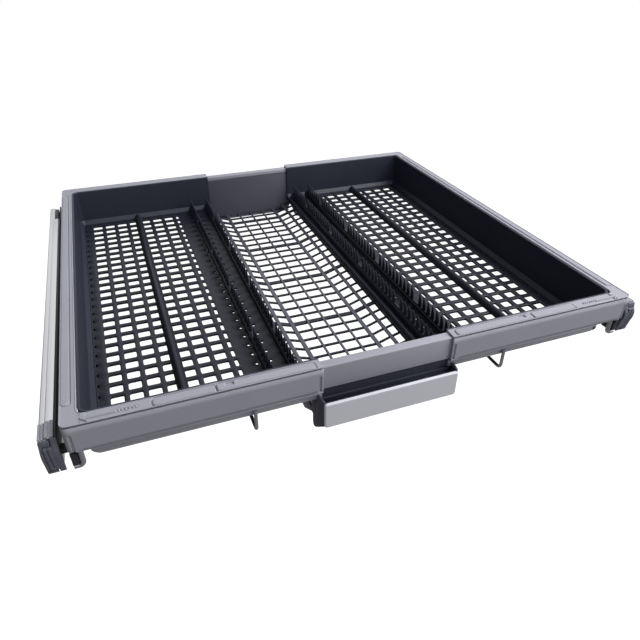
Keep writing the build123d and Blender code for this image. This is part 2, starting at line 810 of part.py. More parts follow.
rail_pieces = {
    "outer_rail": outer_rail(),
    "middle_rail": middle_rail(),
    "inner_rail": inner_rail(),
    "carrier": carrier(),
    "outer_ball_cage": ball_cage(0, outer_ball_inset, sheet + cage_gap, outer_flange + cage_lip),
    "inner_ball_cage": ball_cage(1, inner_ball_inset, middle_inset + sheet + 3 * cage_gap,
                                 inner_web_inset),
    "outer_rail_cap": outer_cap(),
    "middle_rail_plug": middle_plug(),
    "carrier_cap": inner_cap(),
    "outer_rail_sleeve": sleeve((rail_x - carrier_tip + fit_gap, rail_x + cap_overhang),
                                rail_top_drop),
    "carrier_sleeve": sleeve((rail_x - carrier_back - cap_overhang, rail_x - carrier_tip),
                             carrier_top()),
    "rear_stop": rear_stop(),
    "hangers": hangers(),
}
for name, shape in rail_pieces.items():
    pieces["right_" + name] = shape
    pieces["left_" + name] = right(shape)
pieces["outer_race_balls"] = balls(0, outer_ball_inset)
pieces["inner_race_balls"] = balls(1, inner_ball_inset)

for name, shape in pieces.items():
    export_step(shape, f"parts/{name}.step")
print(len(pieces), "pieces")
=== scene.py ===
from math import radians

import bpy
import numpy as np
from mathutils import Matrix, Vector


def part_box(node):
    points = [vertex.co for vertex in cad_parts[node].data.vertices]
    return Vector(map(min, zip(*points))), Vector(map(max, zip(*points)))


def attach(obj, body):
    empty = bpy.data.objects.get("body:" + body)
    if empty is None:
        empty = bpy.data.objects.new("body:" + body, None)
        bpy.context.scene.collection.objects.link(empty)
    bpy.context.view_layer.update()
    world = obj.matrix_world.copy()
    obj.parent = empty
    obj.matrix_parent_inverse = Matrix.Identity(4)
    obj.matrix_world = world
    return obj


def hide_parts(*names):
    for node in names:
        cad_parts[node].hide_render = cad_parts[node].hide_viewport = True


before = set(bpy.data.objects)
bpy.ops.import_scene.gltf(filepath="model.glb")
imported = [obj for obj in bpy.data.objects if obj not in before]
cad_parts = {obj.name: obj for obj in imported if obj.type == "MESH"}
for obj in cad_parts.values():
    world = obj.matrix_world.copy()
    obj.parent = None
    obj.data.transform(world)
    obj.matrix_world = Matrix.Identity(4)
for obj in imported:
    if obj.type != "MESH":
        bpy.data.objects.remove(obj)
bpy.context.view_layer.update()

# Camera
# The photograph was taken from in front, left of the middle and 270 mm above the rim,
# with a wide lens. The place and the angles were worked out from the four rim corners.
mm = 0.001
photo_pixels = 640
focal_pixels = 561.86
camera_place = (-182.67 * mm, -549.15 * mm, 341.10 * mm)
camera_turn = (radians(56.356), radians(-0.247), radians(-20.632))
camera_data = bpy.data.cameras.new("photo_camera")
camera_data.sensor_width = 36.0
camera_data.lens = focal_pixels / photo_pixels * camera_data.sensor_width
camera_data.clip_start = 0.01
camera_data.clip_end = 50.0
camera = bpy.data.objects.new("photo_camera", camera_data)
camera.location = camera_place
camera.rotation_euler = camera_turn
bpy.context.scene.collection.objects.link(camera)
bpy.context.scene.camera = camera
bpy.context.scene.view_settings.view_transform = "Standard"

# Floor
# The tray is carried by its rails and stands on nothing, so the studio floor lies far
# below it. It is painted matt, white to the camera, and keeps the tray's soft shadow.
floor_drop = 900.0 * mm
floor_half = 14.0
floor_glow = 0.9
white = (1.0, 1.0, 1.0, 1.0)


def hex_colour(code):
    """Linear RGBA of an sRGB hex value."""
    srgb = np.array([int(code[i:i + 2], 16) for i in (0, 2, 4)]) / 255
    linear = np.where(srgb <= 0.04045, srgb / 12.92, ((srgb + 0.055) / 1.055) ** 2.4)
    return (*linear, 1.0)


def add(tree, kind, settings=(), links=()):
    """A node with its settings and sockets given, and its inputs linked from other nodes. A
    socket goes by its name or its number."""
    node = tree.nodes.new(kind)
    for name, value in dict(settings).items():
        if isinstance(name, int) or name in node.inputs:
            node.inputs[name].default_value = value
        else:
            setattr(node, name, value)
    for name, source in dict(links).items():
        tree.links.new(source, node.inputs[name])
    return node


def new_material(name):
    """A material with an empty node tree and its output node."""
    material = bpy.data.materials.new(name)
    material.use_nodes = True
    material.node_tree.nodes.clear()
    return material, material.node_tree, material.node_tree.nodes.new("ShaderNodeOutputMaterial")


# Matt white paint that glows for the camera alone, so that it shows as plain white.
floor_paint, tree, output = new_material("white_studio_floor")
paint = add(tree, "ShaderNodeBsdfDiffuse", {"Color": hex_colour("B4B4B4")})
glow = add(tree, "ShaderNodeEmission", {"Color": white, "Strength": floor_glow})
rays = add(tree, "ShaderNodeLightPath")
dark = add(tree, "ShaderNodeEmission", {"Color": (0.0, 0.0, 0.0, 1.0), "Strength": 0.0})
lift = add(tree, "ShaderNodeMixShader",
           links={"Fac": rays.outputs["Is Camera Ray"], 1: dark.outputs[0], 2: glow.outputs[0]})
both = add(tree, "ShaderNodeAddShader", links={0: paint.outputs[0], 1: lift.outputs[0]})
tree.links.new(both.outputs[0], output.inputs["Surface"])

floor_mesh = bpy.data.meshes.new("studio_floor")
floor_mesh.from_pydata([(x * floor_half, y * floor_half, -floor_drop)
                        for x, y in ((-1, -1), (1, -1), (1, 1), (-1, 1))], [], [(0, 1, 2, 3)])
floor_mesh.materials.append(floor_paint)
studio_floor = bpy.data.objects.new("studio_floor", floor_mesh)
bpy.context.scene.collection.objects.link(studio_floor)

# World and lamps
# A plain white room, white to the camera, that lights the tray more from the front and the
# right than from the left. A large soft lamp hangs above, and one stands in front on the
# right. Glossy surfaces mirror a dark wall on the left and bright ones everywhere else.
bright_side = (0.55, -0.83, 0.0)
sky_dark, sky_bright = 0.08, 0.50
mirror_left, mirror_right = 0.05, 0.95
mirror_edge = (-0.7, -0.15)
world = bpy.data.worlds.new("white_room")
bpy.context.scene.world = world
world.use_nodes = True
tree = world.node_tree
tree.nodes.clear()
rays = add(tree, "ShaderNodeLightPath")
seen = add(tree, "ShaderNodeMath", {"operation": "MAXIMUM"},
           {0: rays.outputs["Is Camera Ray"], 1: rays.outputs["Is Transmission Ray"]})
way = add(tree, "ShaderNodeTexCoord").outputs["Generated"]
axes = add(tree, "ShaderNodeSeparateXYZ", links={"Vector": way})
towards = add(tree, "ShaderNodeVectorMath", {"operation": "DOT_PRODUCT", 1: bright_side}, {0: way})
level = add(tree, "ShaderNodeMapRange",
            {"From Min": -1.0, "From Max": 1.0, "To Min": sky_dark, "To Max": sky_bright},
            {"Value": towards.outputs["Value"]})
mirror = add(tree, "ShaderNodeMapRange",
             {"From Min": mirror_edge[0], "From Max": mirror_edge[1],
              "To Min": mirror_left, "To Max": mirror_right}, {"Value": axes.outputs["X"]})
sky_strength = add(tree, "ShaderNodeMix", {"data_type": "FLOAT"},
                   {"Factor": rays.outputs["Is Glossy Ray"], "A": level.outputs["Result"],
                    "B": mirror.outputs["Result"]})
sky = add(tree, "ShaderNodeBackground", {"Color": white}, {"Strength": sky_strength.outputs["Result"]})
backdrop = add(tree, "ShaderNodeBackground", {"Color": white, "Strength": 1.0})
room = add(tree, "ShaderNodeMixShader",
           links={"Fac": seen.outputs[0], 1: sky.outputs[0], 2: backdrop.outputs[0]})
add(tree, "ShaderNodeOutputWorld", links={"Surface": room.outputs[0]})


def soft_lamp(name, place, target, size, watts):
    """Square area lamp at a place, turned to a target."""
    data = bpy.data.lights.new(name, "AREA")
    data.shape = "SQUARE"
    data.size = size
    data.energy = watts
    lamp = bpy.data.objects.new(name, data)
    away = np.subtract(place, target)
    away = away / np.linalg.norm(away)
    side = np.cross((0.0, 0.0, 1.0), away)
    side = side / np.linalg.norm(side)
    lamp.matrix_world = Matrix.Translation(place) @ Matrix(
        np.column_stack((side, np.cross(away, side), away))).to_4x4()
    bpy.context.scene.collection.objects.link(lamp)


soft_lamp("lamp_above", (0.9, -0.3, 1.3), (0.1, 0.0, 0.0), 1.2, 27.0)
soft_lamp("lamp_front_right", (1.0, -1.1, 0.4), (0.2, -0.2, 0.0), 0.8, 3.0)

# Side frames
# Each grey frame is one injection-moulded polypropylene sleeve: a rim round three sides, an
# outer skin with a shadow groove under the rim, an inner lip, and a skirt set back below the
# front and rear walls. It slides over the centre channels.
frame_low, frame_high = (np.array(corner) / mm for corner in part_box("left_frame"))
half_width, seam = -frame_low[0], -frame_high[0]
front, back = frame_low[1], frame_high[1]
depth = back - front
pad_height = 0.6
rim_top = frame_high[2] - pad_height
rim_width, rim_sheet, rim_radius = 11.8, 2.0, 5.0
skin_sheet = 2.0
lip_drop, lip_radius = 2.35, 1.2
wall_drop = 25.0
groove_drop, groove_cut = (0.7, 2.8), 1.7
edge_radius = 0.3
smooth_angle = 35.0
sides = {"left": -1, "right": 1}


def spans(node):
    """A CAD node's box as three spans in mm: |x|, depth behind the front face, and drop
    below the rim. A node across the middle has its half width twice."""
    low, high = (np.array(corner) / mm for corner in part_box(node))
    return (sorted((abs(low[0]), abs(high[0]))), (low[1] - front, high[1] - front),
            (rim_top - high[2], rim_top - low[2]))


def grid_faces(rows, columns, close_rows=False, close_columns=False):
    """Quads of a grid of points numbered row by row, optionally joined at its ends."""
    i = np.arange(rows if close_rows else rows - 1)
    j = np.arange(columns if close_columns else columns - 1)
    a, b = (grid.ravel() for grid in np.meshgrid(i, j, indexing="ij"))
    a2, b2 = (a + 1) % rows, (b + 1) % columns
    corners = (a * columns + b, a * columns + b2, a2 * columns + b2, a2 * columns + b)
    return np.stack(corners, 1).tolist()


def ring_faces(rows, columns):
    """Quads between closed rings, with a cap on the first ring and on the last."""
    last = (rows - 1) * columns
    caps = [list(range(columns))[::-1], list(range(last, last + columns))]
    return grid_faces(rows, columns, close_columns=True) + caps


def outward(part):
    """The part with its faces turned outwards. The signed volume is the sum of the
    tetrahedra from the origin to the faces, and as drop counts downwards, it is negative
    when the faces are right."""
    points, faces = part
    points = np.asarray(points, float).reshape(-1, 3)
    volume = 0.0
    for size in {len(face) for face in faces}:
        ring = points[np.array([face for face in faces if len(face) == size])]
        for k in range(1, size - 1):
            volume += np.einsum("ij,ij->", ring[:, 0], np.cross(ring[:, k], ring[:, k + 1]))
    return points, (faces if volume < 0 else [face[::-1] for face in faces])


def joined(parts):
    """Several closed parts as one list of points and one list of faces."""
    points, faces, start = [], [], 0
    for part_points, part_faces in map(outward, parts):
        points.append(part_points)
        faces += [[index + start for index in face] for face in part_faces]
        start += len(part_points)
    return np.vstack(points), faces


def reflected(part, axis):
    """The mirror image of a part: across the middle for axis 0, front to rear for axis 1."""
    points, faces = part
    points = np.array(points, float).reshape(-1, 3)
    points[:, axis] = (0.0, depth)[axis] - points[:, axis]
    return points, [face[::-1] for face in faces]


def with_image(part, axis):
    """The part together with its mirror image."""
    return joined([part, reflected(part, axis)])


def piece(name, part, body, node, material, closed=True):
    """One piece from (x, depth, drop) points in mm, which rides on its body and takes the
    place of its CAD node. A sheet that isn't closed comes with its faces already right."""
    points, faces = outward(part) if closed else part
    points = np.asarray(points, float).reshape(-1, 3)
    points = np.stack((points[:, 0], front + points[:, 1], rim_top - points[:, 2]), 1) * mm
    mesh = bpy.data.meshes.new(name)
    mesh.from_pydata(points.tolist(), [], faces)
    mesh.shade_smooth()
    mesh.set_sharp_from_angle(angle=radians(smooth_angle))
    mesh.materials.append(material)
    shape = bpy.data.objects.new(name, mesh)
    bpy.context.scene.collection.objects.link(shape)
    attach(shape, body)
    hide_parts(node)
    return shape


def side_piece(side, name, part, body, node, material, closed=True):
    """A piece of one side. The part is given as on the right, and {} in a name stands for
    the side."""
    if side == "left":
        part = reflected(part, 0)
    return piece(name.format(side), part, body.format(side), node.format(side), material,
                 closed)


def finish_surface(tree, output, tones, tone_by, grain, gloss, bump, settings):
    """The common end of a material: its tone lies between two colours by one pattern, and
    its gloss and relief follow its grain. The bump is a strength and a height in mm."""
    tone = add(tree, "ShaderNodeMix", {"data_type": "RGBA"}, {"Factor": tone_by})
    tone.inputs["A"].default_value, tone.inputs["B"].default_value = tones
    dulling = add(tree, "ShaderNodeMapRange", {"To Min": gloss[0], "To Max": gloss[1]},
                  {"Value": grain})
    relief = add(tree, "ShaderNodeBump", {"Strength": bump[0], "Distance": bump[1] * mm},
                 {"Height": grain})
    shader = add(tree, "ShaderNodeBsdfPrincipled", settings,
                 {"Base Color": tone.outputs["Result"], "Roughness": dulling.outputs["Result"],
                  "Normal": relief.outputs["Normal"]})
    tree.links.new(shader.outputs[0], output.inputs["Surface"])


def moulded_plastic(name, colour, darker, roughness, grain, bump, specular=0.5):
    """Moulded plastic: two close tones in soft clouds, and the tool's fine grain as bump.
    The grain is the width of one pit in mm, drawn at least 0.5 wide so that it shows."""
    material, tree, output = new_material(name)
    place = add(tree, "ShaderNodeTexCoord").outputs["Object"]
    clouds = add(tree, "ShaderNodeTexNoise", {"Scale": 1 / (45 * mm), "Detail": 3.0},
                 {"Vector": place})
    pits = add(tree, "ShaderNodeTexNoise", {"Scale": 1 / (max(grain, 0.5) * mm), "Detail": 2.0},
               {"Vector": place})
    finish_surface(tree, output, (hex_colour(darker), hex_colour(colour)), clouds.outputs["Fac"],
                   pits.outputs["Fac"], (roughness - 0.05, roughness + 0.05), (bump, 0.05),
                   {"IOR": 1.49, "Specular IOR Level": specular})
    return material


# Moulded with a fine spark-eroded grain: an even, dull sheen with no sharp highlight.
grey_polypropylene = moulded_plastic("grained_grey_polypropylene", "A6A6B1", "9D9EA9",
                                     0.5, 0.5, 0.35, 0.35)


def arc(centre, radius, start, end, steps=6):
    """Points on an arc round a centre, from one angle to another in degrees."""
    angle = np.radians(np.linspace(start, end, steps + 1))
    return np.stack((centre[0] + radius * np.cos(angle), centre[1] + radius * np.sin(angle)), 1)


def rounded(corners, radius, steps=3):
    """An outline with each corner replaced by a short curve: a parabola that touches both
    sides at the radius from the corner, or at less where a side is short."""
    corners = np.asarray(corners, float)
    before = np.roll(corners, 1, 0) - corners
    after = np.roll(corners, -1, 0) - corners
    before_length = np.linalg.norm(before, axis=1)
    after_length = np.linalg.norm(after, axis=1)
    reach = np.minimum(radius, 0.48 * np.minimum(before_length, after_length))
    first = corners + before * (reach / before_length)[:, None]
    last = corners + after * (reach / after_length)[:, None]
    t = np.linspace(0, 1, steps + 1)[None, :, None]
    curve = ((1 - t) ** 2 * first[:, None] + 2 * t * (1 - t) * corners[:, None]
             + t ** 2 * last[:, None])
    return curve.reshape(-1, 2)


def round_three_sides(profile, radii, front_x=(seam,), run_out=(), side_y=()):
    """A profile of (inset, drop) points carried round the three closed sides of a section.
    Each profile point follows a U that lies its inset inside the outer face, with its own
    corner radius: straight in from the seam, a quarter turn, the side, a quarter turn, and
    straight back to the seam. There are columns at the given x along the front, at shares of
    the way from the last of them to the corner, and at the given depths along the side."""
    insets, drops = profile[:, :1], profile[:, 1:]
    radii = radii[:, None]
    front_x, run_out, side_y = (np.asarray(values, float)[None] for values in
                                (front_x, run_out, side_y))
    whole = np.ones_like(insets)
    turn = np.radians(np.linspace(-90, 0, 9))[None]
    x_turn = half_width - insets - radii + radii * np.cos(turn)
    y_turn = insets + radii + radii * np.sin(turn)
    last_x = front_x[0, -1]
    x_out = last_x + (half_width - insets - radii - last_x) * run_out
    x = np.hstack((front_x * whole, x_out, x_turn, (half_width - insets) * np.ones_like(side_y),
                   x_turn[:, ::-1], seam * whole))
    y = np.hstack((insets * np.ones_like(front_x), insets * np.ones_like(run_out), y_turn,
                   side_y * whole, depth - y_turn[:, ::-1], depth - insets))
    return np.stack((x, y, np.broadcast_to(drops, x.shape)), 2)


def sleeve(grid):
    """A closed profile carried along the grid's columns, capped at both ends."""
    rows, columns = grid.shape[:2]
    start = np.arange(rows) * columns
    caps = [start.tolist(), (start[::-1] + columns - 1).tolist()]
    return grid, grid_faces(rows, columns, close_rows=True) + caps


rim_corners = [(0.0, 0.0), (rim_width, 0.0), (rim_width, lip_drop), (rim_width - rim_sheet, lip_drop),
               (rim_width - rim_sheet, rim_sheet), (skin_sheet, rim_sheet),
               (skin_sheet, groove_drop[1]), (groove_cut, groove_drop[1]),
               (groove_cut, groove_drop[0]), (0.0, groove_drop[0])]
rim_profile = rounded(rim_corners, [lip_radius if corner == (rim_width, 0.0) else edge_radius
                                    for corner in rim_corners], 6)
flat_start, flat_end, flat_step = 0.75, rim_width - lip_radius - 0.1, 0.36
flat_rows = np.arange(flat_start, flat_end, flat_step)
first_flat = int(np.argmax(rim_profile[:, 0] > flat_end))
rim_profile = np.insert(rim_profile, first_flat, np.stack((flat_rows, 0 * flat_rows), 1), axis=0)
rim_radii = rim_radius + np.clip(rim_width - rim_profile[:, 0], 0, 2.0) * (rim_profile[:, 0] > 7)

# The marks on the rim's top, as spans of |x| and depth: two raised fields along the front, a
# long one down the side, a small pocket, an arrow and a row of dots.
field_depth = (1.6, 9.4)
fields = (((half_width - 108.0, half_width - 63.0), field_depth),
          ((seam + 5.5, half_width - 109.2), field_depth),
          ((half_width - 6.8, half_width - 1.2), (24.0, depth - 24.0)))
field_corner, pocket_corner = 2.2, 0.8
pocket = ((half_width - 121.9, half_width - 115.4), (4.6, 8.6))
pocket_deep = 1.4
arrow_tail, arrow_tip, arrow_depth = half_width - 38.0, half_width - 13.6, 5.6
arrow_half, barb_length, barb_half = 1.1, 5.0, 0.7
dots = np.arange(half_width - 51.5, half_width - 39.0, 2.4)
dot_radius = 0.75
mark_height, mark_edge, groove_deep = 0.5, 0.5, 1.2


def outside(x, y, spans, radius):
    """Distance outside a rectangle with rounded corners, negative inside it."""
    (x0, x1), (y0, y1) = spans
    over_x = np.abs(x - (x0 + x1) / 2) - (x1 - x0) / 2 + radius
    over_y = np.abs(y - (y0 + y1) / 2) - (y1 - y0) / 2 + radius
    return (np.hypot(np.maximum(over_x, 0), np.maximum(over_y, 0))
            + np.minimum(np.maximum(over_x, over_y), 0) - radius)


def inside_share(away):
    """1 inside a mark and 0 outside it, with an even slope across its edge."""
    return np.clip(0.5 - away / mark_edge, 0, 1)


def grooved(away, middle, spread):
    """Height of a mark raised inside its outline, with a groove of bell section round it."""
    return (mark_height * inside_share(away)
            - groove_deep * np.exp(-((away - middle) / spread) ** 2))


def rim_relief(x, y):
    """Height of the moulded marks on the rim's top at (|x|, depth). The fields, the arrow
    and the dots are raised with a groove round them, and the small pocket is cut in."""
    height = sum(grooved(outside(x, y, field, field_corner), 0.7, 0.42) for field in fields)
    shaft = outside(x, y, ((arrow_tail, arrow_tip - 1.5),
                           (arrow_depth - arrow_half, arrow_depth + arrow_half)), 0.9)
    along, across = arrow_tip - x, np.abs(y - arrow_depth)
    barb = np.where((along > 0) & (along < barb_length),
                    np.abs(across - 0.75 * along) - barb_half, 1.0)
    mark = np.minimum(shaft, barb)
    for spot in dots:
        mark = np.minimum(mark, np.hypot(x - spot, y - arrow_depth) - dot_radius)
    return (height + grooved(mark, 0.65, 0.4)
            - pocket_deep * inside_share(outside(x, y, pocket, pocket_corner)))


# Columns lie every half millimetre along the front, run out to the start of each row's
# corner, and are close together at the ends of the long side field.
front_reach, front_step = 228.0, 0.5
front_x = np.linspace(seam, front_reach, int((front_reach - seam) / front_step))
field_end = fields[-1][1][0] + np.arange(-1.5, 4.0, 0.4)
rim_grid = round_three_sides(rim_profile, rim_radii, front_x, np.linspace(0, 1, 26)[1:-1],
                             np.concatenate((field_end, (60.0,), depth - field_end[::-1])))
on_top = (rim_profile[:, 1:] < 0.01) & (rim_profile[:, :1] > edge_radius)
rim_grid[:, :, 2] -= np.where(on_top, rim_relief(rim_grid[:, :, 0], rim_grid[:, :, 1]), 0.0)


def outer_skin():
    """The outer wall as a sheet: rows by drop, columns along the U of the three sides. Near
    the outer end and the seam a narrow upright channel is pressed in, fading in over its
    rounded top. The sheet leaves out the slot that clears the cross rod's leg."""
    channel_top, channel_depth, channel_half = 8.6, 1.3, 1.1
    channel_x = (half_width - 4.8, seam + 2.4)
    slot_depth, slot_half, slot_top = 7.0, 2.75, 11.25
    offsets = np.array((-1.8, -1.3, -1.05, -0.7, 0.0, 0.7, 1.05, 1.3, 1.8))
    near_x = np.concatenate([x + offsets for x in channel_x])
    turn = np.radians(np.linspace(-90, 0, 9))
    x_turn = half_width - rim_radius + rim_radius * np.cos(turn)
    y_turn = rim_radius + rim_radius * np.sin(turn)
    flat_x = np.sort(np.concatenate(((seam,), near_x, np.linspace(seam + 10, half_width - 12, 8))))
    flat_x = flat_x[flat_x < half_width - rim_radius - 0.1]
    wall_y = np.array((slot_depth + slot_half, 60.0, 120.0, 180.0))
    x = np.concatenate((flat_x, x_turn, np.full(len(wall_y), half_width)))
    y = np.concatenate((np.zeros(len(flat_x)), y_turn, wall_y))
    x = np.concatenate((x, x[::-1]))
    y = np.concatenate((y, depth - y[::-1]))
    drops = np.concatenate(((groove_drop[1] - 0.4, 7.4), channel_top + np.linspace(-0.6, 2.0, 9),
                            (slot_top, 14.0, 18.0, 22.0, wall_drop)))
    away = np.min([np.abs(x - centre) for centre in channel_x], axis=0)
    across = np.clip(1 - (away / channel_half) ** 2, 0, 1) ** 0.5
    down = np.clip((drops - channel_top) / channel_half, 0, 1) ** 0.5
    on_front = np.minimum(y, depth - y) < 1.0
    push = channel_depth * np.outer(down, across * on_front) * np.where(y < depth / 2, 1, -1)
    grid = np.stack((np.broadcast_to(x, push.shape), y + push,
                     np.broadcast_to(drops[:, None], push.shape)), 2)
    faces = np.array(grid_faces(*push.shape))
    middle = grid.reshape(-1, 3)[faces].mean(axis=1)
    lateral = half_width - middle[:, 0] < 1.2
    deep = np.minimum(middle[:, 1], depth - middle[:, 1])
    open_slot = lateral & (np.abs(deep - slot_depth) < slot_half + 0.1) & (middle[:, 2] > slot_top)
    return grid, faces[~open_slot][:, ::-1].tolist()


def slab(outline, span, edge, axis, edge_steps=2):
    """A flat outline carried between two planes, its rims rounded to the edge radius. Each
    ring is the outline moved inwards along its mitred normals by 1 - cos of a quarter turn,
    while the height moves by 1 - sin. A wide rim has one more ring inside it, so that the
    flat face shades flat. The axis that the thickness lies on is 0, 1 or 2."""
    outline = np.asarray(outline, float)
    following = np.roll(outline, -1, 0)
    ahead = following - outline
    ahead = ahead / np.linalg.norm(ahead, axis=1)[:, None]
    behind = np.roll(ahead, 1, 0)
    turning = np.sign(np.sum(outline[:, 0] * following[:, 1] - outline[:, 1] * following[:, 0]))
    normal = np.stack((-(ahead + behind)[:, 1], (ahead + behind)[:, 0]), 1) * turning
    normal = normal / np.maximum(np.linalg.norm(normal, axis=1), 1e-9)[:, None]
    share = np.einsum("ij,ij->i", normal, np.stack((-ahead[:, 1], ahead[:, 0]), 1) * turning)
    normal = normal / np.maximum(share, 0.35)[:, None]
    turn = np.radians(np.linspace(90, 0, edge_steps + 1))
    inward = edge * (1 - np.cos(turn))
    height = edge * (1 - np.sin(turn))
    if edge > 1.0:
        inward, height = np.append(edge + 0.4, inward), np.append(0.0, height)
    inward = np.concatenate((inward, inward[::-1]))
    level = np.concatenate((min(span) + height, max(span) - height[::-1]))
    flat = outline[None] + normal[None] * inward[:, None, None]
    grid = np.insert(flat, axis, np.broadcast_to(level[:, None], flat.shape[:2]), axis=2)
    return grid.reshape(-1, 3), ring_faces(*flat.shape[:2])


def block(x, y, drop, axis, radius, edge, edge_steps=2):
    """A box between three spans, drawn along one axis: the edges along it rounded to the
    radius, where one is given, and the edges of its two ends to the edge radius."""
    across = [x, y, drop]
    along = across.pop(axis)
    (a0, a1), (b0, b1) = across
    corners = [(a0, b0), (a1, b0), (a1, b1), (a0, b1)]
    return slab(rounded(corners, radius) if radius else corners, along, edge, axis, edge_steps)


skirt_drop, skirt_back, skirt_sheet = 33.6, 2.8, 1.6
skirt_ends = {"left": (half_width - 16.0, 6.0, 0.0), "right": (half_width - 33.0, 2.0, 6.0)}
for side in sides:
    side_piece(side, "{}_frame_rim", sleeve(rim_grid), "{}_section", "{}_frame",
               grey_polypropylene)
    skin = side_piece(side, "{}_frame_skin", outer_skin(), "{}_section", "{}_frame",
                      grey_polypropylene, closed=False)
    thickness = skin.modifiers.new("wall_thickness", "SOLIDIFY")
    thickness.thickness = skin_sheet * mm
    thickness.offset = -1.0
    skirt_start, skirt_radius, arch = skirt_ends[side]
    skirt = [(seam, wall_drop), (skirt_start + arch, wall_drop)]
    if arch:
        skirt += arc((skirt_start + arch, wall_drop + arch), arch, -90, -180).tolist()[1:]
    skirt += arc((skirt_start - skirt_radius, skirt_drop - skirt_radius), skirt_radius,
                 0, 90).tolist()
    skirt += [(seam, skirt_drop)]
    parts = [slab(skirt, (skirt_back, skirt_back + skirt_sheet), 0.3, 1),
             block((seam, skirt_start), (0.0, skirt_back + skirt_sheet),
                   (wall_drop - 0.6, wall_drop + skirt_sheet), 0, 0.6, 0.3)]
    side_piece(side, "{}_frame_skirts", with_image(joined(parts), 1), "{}_section", "{}_frame",
               grey_polypropylene)

# Liners
# The dark inner walls of each side section are a separate moulding of carbon-black
# polypropylene. Its foot turns in at 45 degrees to a ledge that carries the floor grid.
liner_inset, liner_sheet, liner_radius = 12.2, 2.0, 6.0
liner_edge, liner_top, liner_lip = rim_width + 0.1, 0.7, 5.0
foot = 4.5
floor_top, floor_sheet = 45.0, 2.4
ledge_sheet, ledge_width = 1.2, 5.0
inside = liner_inset + liner_sheet
floor_inset = inside + foot
liner_bottom = floor_top + floor_sheet + ledge_sheet
liner_corners = [(liner_edge, liner_top), (inside, liner_top), (inside, floor_top - foot),
                 (floor_inset, floor_top), (floor_inset, floor_top + floor_sheet),
                 (floor_inset + ledge_width, floor_top + floor_sheet),
                 (floor_inset + ledge_width, liner_bottom), (floor_inset, liner_bottom),
                 (liner_inset, liner_bottom - foot - floor_sheet), (liner_edge, liner_lip)]
liner_profile = rounded(liner_corners, [0.3, 1.4] + 7 * [0.6] + [0.3], 4)
liner_radii = np.clip(liner_radius + inside - liner_profile[:, 0], 1.0, 8.0)
seam_bar = 4.0

# Moulded in a smooth tool: satin, with a soft grey sheen where the light grazes.
dark_polypropylene = moulded_plastic("satin_black_polypropylene", "262833", "20222C",
                                     0.42, 0.5, 0.2, 0.25)
liner_polypropylene = moulded_plastic("satin_charcoal_polypropylene", "313442", "2A2D3A",
                                      0.42, 0.5, 0.2, 0.25)
walls = sleeve(round_three_sides(liner_profile, liner_radii))
bar = block((seam, seam + seam_bar), (liner_inset + 2, depth - liner_inset - 2),
            (floor_top, liner_bottom), 1, 0.6, 0.4)
for side in sides:
    for name, part in (("walls", walls), ("seam_bar", bar)):
        side_piece(side, "{}_liner_" + name, part, "{}_section", "{}_liner",
                   liner_polypropylene)

# Side floors
# Each floor is one flat moulded grille with square openings, a closed band along the outer
# wall and a closed strip under the tine rows. The ribs' edges are rounded.
rib_pitch, rib_width = 15.6, 4.6
bar_pitch, bar_width = 15.25, 4.4
band_width, border_width = 10.5, 2.2
strip_edge, strip_border = 108.0, 2.0
slit_half = 2.2
floor_x, floor_y, _ = spans("right_floor")


def openings(start, bars, width, end):
    """The spans left open between a start, bars of one width by their middles, and an end."""
    return np.stack((np.append(start, bars + width / 2), np.append(bars - width / 2, end)), 1)


def grille(x_edges, y_edges, x_holes, y_holes, corner, crown):
    """A plate with a hole in each cell of a grid. A cell's top runs from its outer border,
    on the middle lines of the ribs, down by the crown to a hole whose corners are cut, then
    straight through the sheet, and back out along the underside. Each of these five rings
    has twelve points, whose places along x and along the depth are found apart."""
    x_order = [3, 4, 5, 5, 4, 3, 2, 1, 0, 0, 1, 2]
    y_order = [0, 1, 2, 3, 4, 5, 5, 4, 3, 2, 1, 0]
    rings = []
    for edges, holes, order in ((x_edges, x_holes, x_order), (y_edges, y_holes, y_order)):
        low, high, (a, b) = edges[:-1], edges[1:], holes.T
        cut, soft = corner, 0.3 * corner
        border = np.stack((low, low, a + cut, b - cut, high, high), 1)[:, order]
        hole = np.stack((a, a + soft, a + cut, b - cut, b - soft, b), 1)[:, order]
        crest = hole + 1.2 * crown * np.sign(hole - (a + b)[:, None] / 2)
        rings.append(np.stack((border, crest, hole, hole, border), 1))
    drop = floor_top + np.array((0.0, 0.35 * crown, 1.4 * crown, floor_sheet, floor_sheet))
    grid = np.stack(np.broadcast_arrays(rings[0][:, None], rings[1][None], drop[:, None]), -1)
    one = np.array(grid_faces(5, 12, close_columns=True))
    cells = len(rings[0]) * len(rings[1])
    faces = (one[None] + 60 * np.arange(cells)[:, None, None]).reshape(-1, 4)
    return grid, faces.tolist()


band_edge = floor_x[1] - band_width
rib_x = np.arange(band_edge - rib_pitch + rib_width / 2, strip_edge + rib_width / 2,
                  -rib_pitch)[::-1]
bar_y = np.arange(floor_y[0] + bar_pitch, floor_y[1] - border_width - bar_width / 2, bar_pitch)
net_x = np.concatenate(((strip_edge - strip_border,), rib_x, (band_edge + rib_width / 2,)))
net_y = np.concatenate(((floor_y[0],), bar_y, (floor_y[1],)))
net = grille(net_x, net_y, openings(strip_edge, rib_x, rib_width, band_edge),
             openings(floor_y[0] + border_width, bar_y, bar_width, floor_y[1] - border_width),
             1.3, 0.35)
slit_y = np.stack((bar_y - slit_half, bar_y + slit_half), 1)
slit_edges = np.concatenate(((floor_y[0],), (bar_y[:-1] + bar_y[1:]) / 2, (floor_y[1],)))
band = grille(np.array((net_x[-1], floor_x[1])), slit_edges,
              np.array(((floor_x[1] - 2.6, floor_x[1] - 0.8),)), slit_y, 0.5, 0.1)
